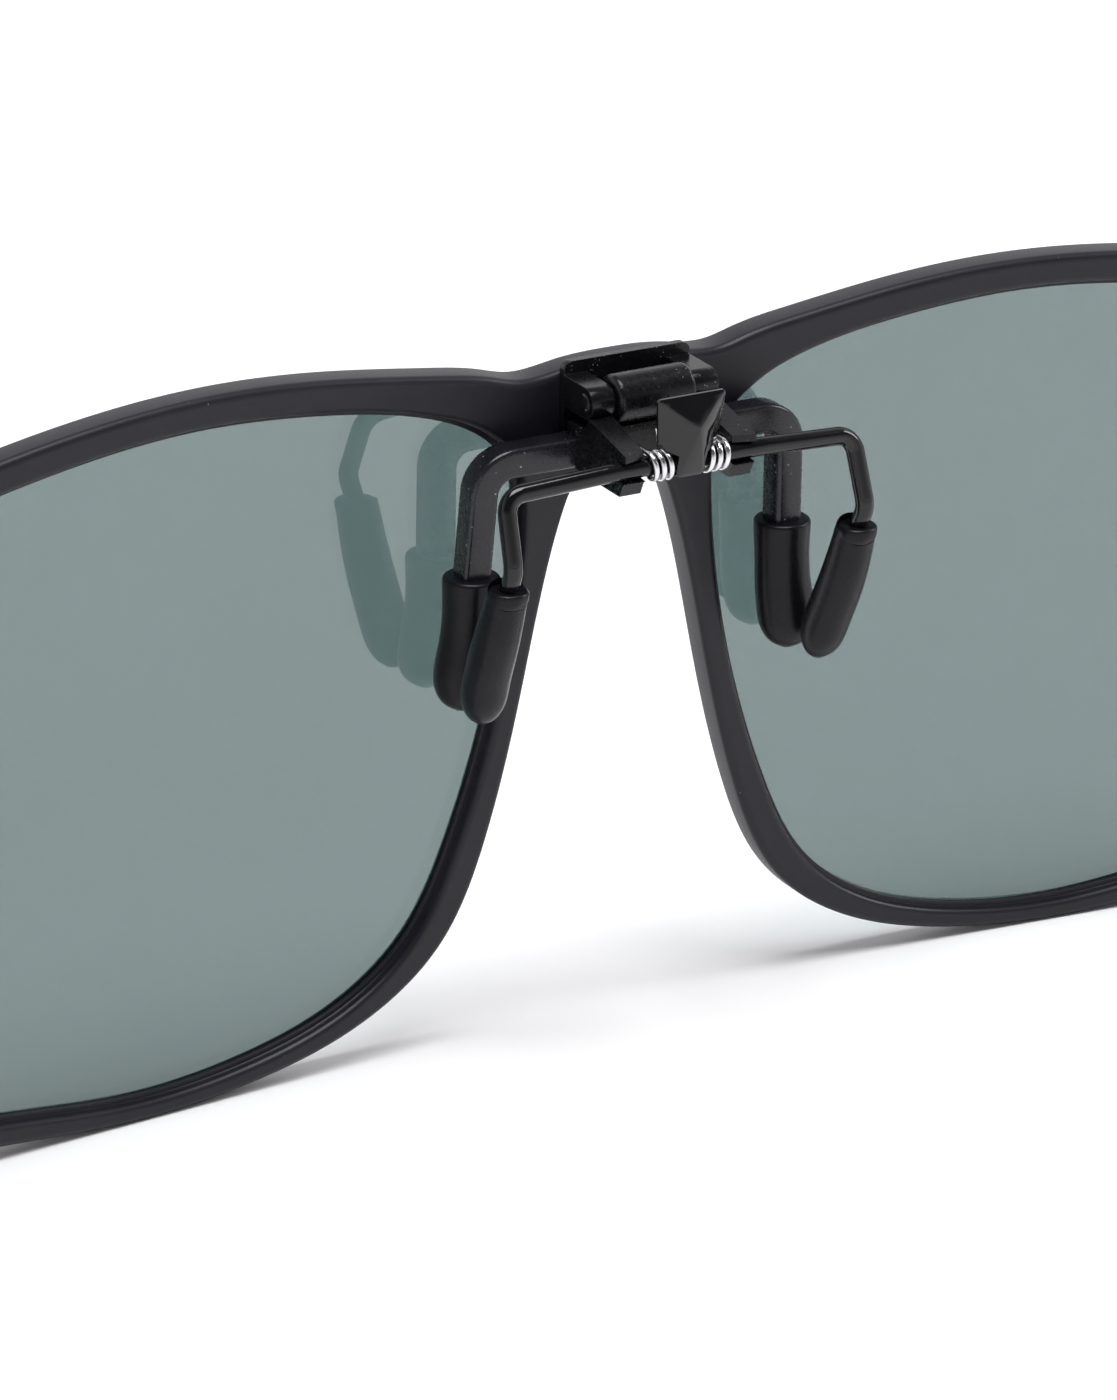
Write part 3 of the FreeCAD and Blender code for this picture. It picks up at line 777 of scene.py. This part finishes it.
def softened(node, name, width, material, round_test=None, round_width=0.0, move=None):
    """A merged copy with small bevels, and larger rounding on the edges that a test picks."""
    obj = copy_of(node, name)
    with opened(obj) as bm:
        if move:
            for vert in bm.verts:
                vert.co = at(*move(vert.co / MM - datum))
        bmesh.ops.dissolve_limit(bm, angle_limit=math.radians(0.6), verts=bm.verts, edges=bm.edges)
    if round_test:
        mark_edges(obj, round_test)
        ease = obj.modifiers.new("rounding", "BEVEL")
        ease.limit_method = "WEIGHT"
        ease.width = round_width * MM
        ease.segments = 6
        bake(obj)
    bevel = obj.modifiers.new("edges", "BEVEL")
    bevel.limit_method = "ANGLE"
    bevel.angle_limit = math.radians(28)
    bevel.width = width * MM
    bevel.segments = 3
    bevel.miter_outer = "MITER_ARC"
    obj.data.materials.append(material)
    for face in obj.data.polygons:
        face.use_smooth = True
    even = obj.modifiers.new("normals", "WEIGHTED_NORMAL")
    even.keep_sharp = True
    bake(obj)
    return obj


HINGE_BACK, HINGE_HEIGHT = 3.1, -1.6
BARREL_RADIUS, BARREL_HALF = 1.5, 2.65
PLATE_HALF_WIDTH = 4.35
PIN_SIDES = 36


def slant_cheeks(place):
    """Take the inner rear corner of each cheek's upper jaw back a little, as the mould does."""
    if 2.8 < abs(place.x) < 2.95 and place.y > 3.95:
        place.x = math.copysign(3.04, place.x)
        if place.z > -3.95 and place.y > 7.9:
            place.y -= 0.42
    return place


def barrel_rim(middle, along):
    around = math.hypot(middle.y - HINGE_BACK, middle.z - HINGE_HEIGHT)
    return abs(abs(middle.x) - BARREL_HALF) < 0.03 and abs(around - BARREL_RADIUS) < 0.05


def plate_corner(middle, along):
    at_end = abs(abs(middle.x) - PLATE_HALF_WIDTH) < 0.02
    return at_end and middle.z > 0.15 and abs(along.y) > 0.9


fit(softened("hinge_plate", "hinge_plate_worn", 0.09, BLACK_METAL, plate_corner, 0.55), "front",
    "hinge_plate")


def hinge_pin():
    """The pin, with low domed heads spread over the bores of the plate's ears."""
    half = [(0.0, 4.46), (0.22, 4.455), (0.42, 4.43), (0.56, 4.38), (0.63, 4.31), (0.64, 4.24),
            (0.48, 4.20), (0.48, 0.0)]
    outline = half + [(radius, -along) for radius, along in reversed(half[:-1])]
    points, faces = [], []
    rings = outline[1:-1]
    for radius, along in rings:
        for k in range(PIN_SIDES):
            a = 2 * math.pi * k / PIN_SIDES
            points.append((along, HINGE_BACK + radius * math.cos(a),
                           HINGE_HEIGHT + radius * math.sin(a)))
    for ring in range(len(rings) - 1):
        quads_between(faces, ring * PIN_SIDES, (ring + 1) * PIN_SIDES, PIN_SIDES)
    end_caps(points, faces, 0, PIN_SIDES)
    finished_piece("hinge_pin_worn", points, faces, 40, BLACK_METAL, "front", "hinge_pin")


hinge_pin()
fit(softened("detent_leaf", "detent_leaf_worn", 0.02, SPRING_STEEL), "front", "detent_leaf")
fit(softened("clip_body", "clip_block", 0.10, CLIP_PLASTIC, barrel_rim, 0.55, slant_cheeks), "clip",
    "clip_body")

# %% [markdown]
# The rivets are two small domed heads with their shanks. Geometry Nodes sets one turned rivet at each
# of two points, from named inputs, and the result becomes one plain mesh.

# %% Rivets by Geometry Nodes


def node_tree(name, inputs):
    tree = bpy.data.node_groups.new(name, "GeometryNodeTree")
    tree.interface.new_socket("Geometry", in_out="INPUT", socket_type="NodeSocketGeometry")
    for label, kind, value in inputs:
        socket = tree.interface.new_socket(label, in_out="INPUT", socket_type=kind)
        socket.default_value = value
    tree.interface.new_socket("Geometry", in_out="OUTPUT", socket_type="NodeSocketGeometry")
    return tree, tree.nodes.new("NodeGroupInput"), tree.nodes.new("NodeGroupOutput")


def close_tree(tree, geometry, out, material):
    """End a tree with Set Shade Smooth, Realize Instances and Set Material."""
    shade = add_node(tree, "GeometryNodeSetShadeSmooth", Geometry=geometry)
    real = add_node(tree, "GeometryNodeRealizeInstances", Geometry=shade.outputs[0])
    paint = add_node(tree, "GeometryNodeSetMaterial", Geometry=real.outputs[0], Material=material)
    tree.links.new(paint.outputs[0], out.inputs[0])


def run_tree(name, tree, **values):
    """An object that holds the tree's result as a plain mesh at the origin."""
    obj = add_object(name, bpy.data.meshes.new(name))
    modifier = obj.modifiers.new("tree", "NODES")
    modifier.node_group = tree
    for item in tree.interface.items_tree:
        label = item.name.replace(" ", "_")
        if item.in_out == "INPUT" and label in values:
            modifier[item.identifier] = values[label]
    return bake(obj)


def rivet_tree():
    tree, given, out = node_tree("rivets", [
        ("Shank radius", "NodeSocketFloat", 0.00055), ("Shank length", "NodeSocketFloat", 0.0023),
        ("Head radius", "NodeSocketFloat", 0.00085), ("Head height", "NodeSocketFloat", 0.0002),
        ("Left", "NodeSocketVector", (0, 0, 0)), ("Right", "NodeSocketVector", (0, 0, 0))])
    length, head = given.outputs["Shank length"], given.outputs["Head radius"]
    shank = add_node(tree, "GeometryNodeMeshCylinder", Radius=given.outputs["Shank radius"],
                     Depth=length)
    dome = add_node(tree, "GeometryNodeMeshUVSphere", Radius=head)
    ratio = math_node(tree, "DIVIDE", given.outputs["Head height"], head)
    size = add_node(tree, "ShaderNodeCombineXYZ", X=1.0, Y=1.0, Z=ratio)
    squash = add_node(tree, "GeometryNodeTransform", Geometry=dome.outputs[0],
                      Scale=size.outputs[0])
    drop = add_node(tree, "ShaderNodeCombineXYZ", Z=math_node(tree, "MULTIPLY", length, -0.5))
    sink = add_node(tree, "GeometryNodeTransform", Geometry=shank.outputs[0],
                    Translation=drop.outputs[0])
    whole = tree.nodes.new("GeometryNodeJoinGeometry")
    tree.links.new(squash.outputs[0], whole.inputs[0])
    tree.links.new(sink.outputs[0], whole.inputs[0])
    pair = tree.nodes.new("GeometryNodeJoinGeometry")
    for label in ("Left", "Right"):
        put = add_node(tree, "GeometryNodeTransform", Geometry=whole.outputs[0],
                       Translation=given.outputs[label], Rotation=(-math.pi / 2, 0, 0))
        tree.links.new(put.outputs[0], pair.inputs[0])
    close_tree(tree, pair.outputs[0], out, BLACK_METAL)
    return tree


rivets = run_tree("plate_rivets", rivet_tree(), Left=tuple(at(-3.4, 0.6, -4.6)),
                  Right=tuple(at(3.4, 0.6, -4.6)))
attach(rivets, "front")
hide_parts("plate_rivet_left", "plate_rivet_right")
print("rivets:", len(rivets.data.polygons), "faces")

# %% [markdown]
# ## Rods and sleeves
# The fixed arms are square rods with softened corners, and the jaw is one round wire. Both are swept:
# a section is carried along a route of straight runs and round bends without twisting. The rubber
# sleeves at their ends are lofts, rings of different sizes set along a gently curved course.

# %% Sweeping a section along a route


def bent_route(corners, radii, step=6):
    """Places along straight runs joined by arcs, an arc's places every `step` degrees."""
    corners = [Vector(c) for c in corners]
    route = [corners[0]]
    for index, radius in enumerate(radii, start=1):
        corner = corners[index]
        back = (corners[index - 1] - corner).normalized()
        ahead = (corners[index + 1] - corner).normalized()
        turn = math.pi - back.angle(ahead)
        reach = radius * math.tan(turn / 2)
        enter = corner + back * reach
        middle = corner + (back + ahead).normalized() * (radius / math.cos(turn / 2))
        axis = back.cross(ahead).normalized()
        count = max(int(math.degrees(turn) / step), 2)
        for k in range(count + 1):
            swing = Matrix.Rotation(-turn * k / count, 3, axis)
            route.append(middle + swing @ (enter - middle))
    route.append(corners[-1])
    return route


def swept(points, faces, route, section, start_side):
    """Carry a closed section (sideways, upwards) along a route without twist, closed at both ends."""
    count = len(section)
    first = len(points)
    side = Vector(start_side)
    before = None
    for index, place in enumerate(route):
        ahead = route[min(index + 1, len(route) - 1)] - route[max(index - 1, 0)]
        ahead.normalize()
        if before is not None:
            side = before.rotation_difference(ahead) @ side
        side = (side - ahead * side.dot(ahead)).normalized()
        before = ahead
        rise = ahead.cross(side)
        for u, v in section:
            points.append(tuple(place + side * u + rise * v))
    for ring in range(len(route) - 1):
        low = first + ring * count
        quads_between(faces, low, low + count, count)
    end_caps(points, faces, first, count)


def round_section(radius, sides=28):
    return [(radius * math.cos(2 * math.pi * k / sides), radius * math.sin(2 * math.pi * k / sides))
            for k in range(sides)]


def square_section(size, corner, steps=4):
    half = size / 2 - corner
    section = []
    for quarter, (sx, sy) in enumerate(((1, 1), (-1, 1), (-1, -1), (1, -1))):
        for k in range(steps + 1):
            a = math.radians(90 * quarter + 90 * k / steps)
            section.append((sx * half + corner * math.cos(a), sy * half + corner * math.sin(a)))
    return section


def both_sides(make, *extra):
    """Make the right-hand piece and its mirror image for the left."""
    for side, sign in (("right", 1), ("left", -1)):
        make(side, sign, *extra)


# %% [markdown]
# The arm leaves the clip's block, turns down through one bend and ends in a thinner core inside its
# sleeve.

# %% Fixed arms
ARM_SECTION, ARM_CORNER = 1.85, 0.3
ARM_CORE_RADIUS = 0.7


def fixed_arm(side, sign):
    points, faces = [], []
    run = bent_route([(4.3, 1.65, -4.94), (10.5, 1.65, -4.94), (10.85, 1.15, -12.75)], [1.9])
    fine = []
    for first, second in zip(run, run[1:]):
        parts = max(int((second - first).length / 0.5), 1)
        fine += [first.lerp(second, k / parts) for k in range(parts)]
    fine.append(run[-1])
    swept(points, faces, fine, square_section(ARM_SECTION, ARM_CORNER, 5), (0, 1, 0))
    core = bent_route([(10.85, 1.16, -12.4), (10.95, 1.15, -15.5), (11.4, 1.18, -18.6)], [4.0])
    swept(points, faces, core, round_section(ARM_CORE_RADIUS, 20), (0, 1, 0))
    points = [(x * sign, y, z) for x, y, z in points]
    finished_piece(f"{side}_fixed_arm", points, faces, 40, ARM_PAINT, "clip", f"fixed_arm_{side}")


both_sides(fixed_arm)

# %% [markdown]
# A sleeve is a dipped rubber tube. It starts with a thick rounded rim round the arm, narrows a
# little, flares again, and closes in a rounded end. Those on the fixed arms also have a small nub at
# the end. A faint raised seam runs down each sleeve where its mould closed.

# %% Sleeves


def lofted(points, faces, stations, seam_angle, seam_height, sides=56):
    """Rings along stations of (x, y, z, radius), with a narrow raised seam at one angle."""
    first = len(points)
    centres = [Vector(s[:3]) for s in stations]
    for index, station in enumerate(stations):
        ahead = centres[min(index + 1, len(centres) - 1)] - centres[max(index - 1, 0)]
        if ahead.length < 1e-6:
            ahead = Vector((0, 0, -1))
        ahead.normalize()
        side = Vector((1, 0, 0))
        side = (side - ahead * side.dot(ahead)).normalized()
        rise = ahead.cross(side)
        for k in range(sides):
            a = 2 * math.pi * k / sides
            away = (a - seam_angle + math.pi) % (2 * math.pi) - math.pi
            ridge = seam_height * math.exp(-(away * station[3] / 0.10) ** 2)
            radius = station[3] + ridge * min(station[3], 1.0)
            points.append(tuple(centres[index] + side * radius * math.cos(a)
                                + rise * radius * math.sin(a)))
    for ring in range(len(stations) - 1):
        low = first + ring * sides
        quads_between(faces, low, low + sides, sides)
    end_caps(points, faces, first, sides)


def smooth_stations(stations, spacing=0.25):
    return [tuple(s) for s in curve_through(stations, spacing)]


FIXED_SLEEVE_COURSE = [
    (10.87, 1.21, -12.75, 1.75), (10.88, 1.2, -13.4, 1.72), (10.93, 1.2, -14.8, 1.69),
    (11.05, 1.2, -16.4, 1.74), (11.3, 1.2, -18.0, 1.80), (11.42, 1.2, -18.9, 1.74),
    (11.51, 1.2, -19.6, 1.50), (11.58, 1.2, -20.15, 1.05), (11.62, 1.2, -20.45, 0.55),
]


def sleeve_mouth(x, y, z, hole, outside, depth):
    """Stations from inside a mouth, over its rounded rim, to the outer side."""
    middle = (hole + outside) / 2
    half = (outside - hole) / 2
    stations = [(x, y, z - depth, hole)]
    for k in range(9):
        a = math.radians(180 * k / 8)
        stations.append((x, y, z - half + half * math.sin(a), middle - half * math.cos(a)))
    return stations


def fixed_sleeve(side, sign):
    points, faces = [], []
    mouth = sleeve_mouth(10.86, 1.22, -12.02, 1.24, 1.76, 0.9)
    body = smooth_stations(FIXED_SLEEVE_COURSE)
    nub = [(11.64, 1.2, -20.5, 0.28), (11.65, 1.2, -20.58, 0.16)]
    lofted(points, faces, mouth + body + nub, math.radians(-72), 0.035)
    points = [(x * sign, y, z) for x, y, z in points]
    finished_piece(f"{side}_fixed_sleeve", points, faces, 50, SOFT_SLEEVE, "clip",
                   f"fixed_sleeve_{side}")


both_sides(fixed_sleeve)

WIRE_SLEEVE_COURSE = [
    (12.06, 7.74, -10.85, 1.25), (12.08, 7.2, -12.4, 1.33), (12.06, 6.2, -14.9, 1.42),
    (11.96, 5.16, -17.2, 1.44), (11.85, 4.6, -18.7, 1.34), (11.80, 4.40, -19.4, 1.10),
    (11.78, 4.3, -19.95, 0.72), (11.78, 4.28, -20.2, 0.40),
]


def wire_sleeve(side, sign):
    points, faces = [], []
    mouth = sleeve_mouth(12.06, 7.88, -10.45, 0.72, 1.26, 0.7)
    body = smooth_stations(WIRE_SLEEVE_COURSE)
    lofted(points, faces, mouth + body, math.radians(-60), 0.03)
    points = [(x * sign, y, z) for x, y, z in points]
    finished_piece(f"{side}_wire_sleeve", points, faces, 50, SOFT_SLEEVE, "jaw",
                   f"wire_sleeve_{side}")


both_sides(wire_sleeve)

# %% [markdown]
# The jaw wire is one length of round spring wire. It runs through both cheeks, out to the sides,
# folds back and down, and ends inside the sleeves.

# %% Jaw wire
WIRE_RADIUS = 0.57
JAW_BACK, JAW_HEIGHT = 7.65, -4.4


def jaw_wire():
    right = [(5.2, JAW_BACK, JAW_HEIGHT), (11.95, 7.15, -4.9), (12.15, 8.65, -9.1), (12.06, 7.75, -10.9),
             (11.92, 5.5, -16.2)]
    left = [(-x, y, z) for x, y, z in reversed(right)]
    bends = [6.0, 1.2, 1.3, 4.0]
    route = bent_route(left + right, bends[::-1] + bends, step=4)
    points, faces = [], []
    swept(points, faces, route, round_section(WIRE_RADIUS, 32), (0, 1, 0))
    finished_piece("bent_jaw_wire", points, faces, 40, WIRE_GLOSS, "jaw", "jaw_wire")


jaw_wire()

# %% [markdown]
# ## Torsion springs
# Each spring is a few coils round the jaw wire. One leg stands up behind the lever and the other runs
# forward to the clip's block. Geometry Nodes bend a straight line of points into that course: a point
# before the first turn or after the last one carries straight on, so one tree makes coil and legs.

# %% Springs by Geometry Nodes
COIL_START = 1.15
FULL_TURN = 2 * math.pi


def spring_tree():
    tree, given, out = node_tree("torsion_spring", [
        ("Turns", "NodeSocketFloat", 2.75), ("Coil radius", "NodeSocketFloat", 0.00082),
        ("Pitch", "NodeSocketFloat", 0.00052), ("Wire radius", "NodeSocketFloat", 0.00018),
        ("First leg", "NodeSocketFloat", 0.0017), ("Last leg", "NodeSocketFloat", 0.00375),
        ("Hand", "NodeSocketFloat", 1.0), ("Start", "NodeSocketVector", (0, 0, 0))])

    def calc(*terms):
        return math_node(tree, *terms)

    line = add_node(tree, "GeometryNodeCurvePrimitiveLine", Start=(0, 0, 0), End=(1, 0, 0))
    dots = add_node(tree, "GeometryNodeResampleCurve", Curve=line.outputs[0], Count=240)
    share = tree.nodes.new("GeometryNodeSplineParameter").outputs["Factor"]
    radius, turns = given.outputs["Coil radius"], given.outputs["Turns"]
    turn_length = calc("MULTIPLY", radius, FULL_TURN)
    first = calc("DIVIDE", given.outputs["First leg"], turn_length)
    last = calc("DIVIDE", given.outputs["Last leg"], turn_length)
    whole = calc("ADD", calc("ADD", first, turns), last)
    along = calc("SUBTRACT", calc("MULTIPLY", share, whole), first)
    on_coil = calc("MINIMUM", calc("MAXIMUM", along, 0.0), turns)
    beyond = calc("MULTIPLY", calc("SUBTRACT", along, on_coil), turn_length)
    angle = calc("MULTIPLY", on_coil, FULL_TURN)
    cosine, sine = calc("COSINE", angle), calc("SINE", angle)
    swing = calc("MULTIPLY", calc("MULTIPLY", cosine, radius), -1.0)
    lean = calc("MULTIPLY", calc("MINIMUM", beyond, 0.0), 0.375)
    forward = calc("ADD", calc("ADD", swing, calc("MULTIPLY", sine, beyond)), lean)
    rise = calc("ADD", calc("MULTIPLY", sine, radius), calc("MULTIPLY", cosine, beyond))
    upward = calc("MULTIPLY", rise, -1.0)
    outward = calc("MULTIPLY", calc("MULTIPLY", on_coil, given.outputs["Pitch"]),
                   given.outputs["Hand"])
    place = add_node(tree, "ShaderNodeCombineXYZ", X=outward, Y=forward, Z=upward)
    put = tree.nodes.new("ShaderNodeVectorMath")
    put.operation = "ADD"
    tree.links.new(place.outputs[0], put.inputs[0])
    tree.links.new(given.outputs["Start"], put.inputs[1])
    bend = add_node(tree, "GeometryNodeSetPosition", Geometry=dots.outputs[0],
                    Position=put.outputs[0])
    ring = add_node(tree, "GeometryNodeCurvePrimitiveCircle", Resolution=14,
                    Radius=given.outputs["Wire radius"])
    sweep = add_node(tree, "GeometryNodeCurveToMesh", Curve=bend.outputs[0],
                     Profile_Curve=ring.outputs[0], Fill_Caps=True)
    close_tree(tree, sweep.outputs[0], out, SPRING_STEEL)
    return tree


def torsion_spring(side, sign, tree):
    spring = run_tree(f"{side}_spring", tree, Hand=float(sign),
                      Start=tuple(at(COIL_START * sign, JAW_BACK, JAW_HEIGHT)))
    fit(spring, "clip", f"torsion_spring_{side}")


both_sides(torsion_spring, spring_tree())

# %% [markdown]
# ## Thumb lever
# The lever is a polished black wedge whose facets meet at a low point, with a thin bevel all round.
# It is made as rings of one rounded outline that shrink towards the point and grow rounder on the
# way. Two round cuts leave room for the springs, and a collar holds it on the wire.

# %% Thumb lever
LEVER_CORNERS = [(-2.34, -0.11), (2.34, -0.11), (2.05, -3.1), (0.92, -5.2), (-0.92, -5.2),
                 (-2.05, -3.1)]
LEVER_HEIGHTS = [-5.2, -3.1, -0.11]
LEVER_BACKS = [8.36, 8.02, 8.35]
LEVER_THICKNESS = 0.35
SPRING_ROOM = 1.13
ROUND_SIDES = 40
LEVER_POINT = Vector((0, 9.3, -1.9))


def lever_outline(inset, corner_radius, steps=5):
    """The rim moved inwards, with rounded corners, as (x, y, z) places."""
    flat = [Vector(corner) for corner in LEVER_CORNERS]
    count = len(flat)
    moved = []
    for k in range(count):
        before, here, after = flat[k - 1], flat[k], flat[(k + 1) % count]
        ahead, behind = (after - here).normalized(), (here - before).normalized()
        normal_a = Vector((ahead.y, -ahead.x))
        normal_b = Vector((behind.y, -behind.x))
        bisector = (normal_a + normal_b).normalized()
        moved.append(here + bisector * (inset / max(bisector.dot(normal_a), 0.3)))
    places = []
    for k in range(count):
        before, here, after = moved[k - 1], moved[k], moved[(k + 1) % count]
        to_before, to_after = (before - here).normalized(), (after - here).normalized()
        for j in range(steps + 1):
            t = j / steps
            reach = corner_radius * 0.9
            start, end = here + to_before * reach, here + to_after * reach
            spot = start * (1 - t) ** 2 + here * 2 * t * (1 - t) + end * t ** 2
            places.append(spot)
        gap = (after - here).length
        for j in range(1, 8):
            t = corner_radius / gap + (1 - 2 * corner_radius / gap) * j / 8
            places.append(here.lerp(after, t))
    return [(p.x, float(np.interp(p.y, LEVER_HEIGHTS, LEVER_BACKS)), p.y) for p in places]


def lever_wedge():
    points, faces = [], []
    rim = lever_outline(0.10, 0.26)
    count = len(rim)
    apex = LEVER_POINT
    rings = 16
    for ring in range(1, rings + 1):
        share = ring / rings
        soft = (1 - share) ** 0.4
        for x, y, z in rim:
            angle = math.atan2(z - apex.z, x - apex.x)
            tall = 1.8 if angle > 0 else 3.2
            reach = 1 / math.hypot(math.cos(angle) / 2.3, math.sin(angle) / tall)
            round_x, round_z = reach * math.cos(angle), reach * math.sin(angle)
            away_x = (x - apex.x) * (1 - soft) + round_x * soft
            away_z = (z - apex.z) * (1 - soft) + round_z * soft
            drop = (apex.y - y) * share ** 1.25
            points.append((apex.x + away_x * share, apex.y - drop, apex.z + away_z * share))
    edge_ring = lever_outline(0.0, 0.34)
    points += [(x, y - 0.09, z) for x, y, z in edge_ring]
    points += [(x, y - LEVER_THICKNESS + 0.08, z) for x, y, z in edge_ring]
    front = lever_outline(0.12, 0.22)
    points += [(x, y - LEVER_THICKNESS, z) for x, y, z in front]
    total = rings + 3
    for ring in range(total - 1):
        quads_between(faces, ring * count, (ring + 1) * count, count)
    points.append(tuple(apex))
    for k in range(count):
        faces.append((len(points) - 1, (k + 1) % count, k))
    faces.append(tuple(range((total - 1) * count, total * count)))
    return tidy(mesh_object("lever_wedge", points, faces))


def cut_spring_room(lever):
    """Take a round bite from each side of the lever, where a spring sits."""
    for sign in (1, -1):
        points, faces = [], []
        ends = [Vector((x * sign, JAW_BACK, JAW_HEIGHT)) for x in (0.97, 4.0)]
        swept(points, faces, ends, round_section(SPRING_ROOM, ROUND_SIDES), (0, 1, 0))
        cutter = tidy(mesh_object("spring_room", points, faces))
        bite = lever.modifiers.new("room", "BOOLEAN")
        bite.operation = "DIFFERENCE"
        bite.solver = "EXACT"
        bite.object = cutter
        bake(lever)
        bpy.data.objects.remove(cutter)


def lever_collar():
    points, faces = [], []
    profile = [(-0.95, 0.58), (-0.95, 0.68), (-0.90, 0.72), (0.90, 0.72), (0.95, 0.68),
               (0.95, 0.58)]
    for x, radius in profile:
        for k in range(ROUND_SIDES):
            a = 2 * math.pi * k / ROUND_SIDES
            points.append((x, JAW_BACK + radius * math.cos(a), JAW_HEIGHT + radius * math.sin(a)))
    for ring in range(len(profile)):
        after = (ring + 1) % len(profile)
        quads_between(faces, ring * ROUND_SIDES, after * ROUND_SIDES, ROUND_SIDES)
    return tidy(mesh_object("collar", points, faces))


def thumb_lever():
    lever = lever_wedge()
    cut_spring_room(lever)
    collar = lever_collar()
    with opened(lever) as bm:
        bm.from_mesh(collar.data)
    bpy.data.objects.remove(collar)
    smooth(lever, 24)
    lever.data.materials.clear()
    lever.data.materials.append(LEVER_GLOSS)
    fit(lever, "jaw", "thumb_lever")


thumb_lever()
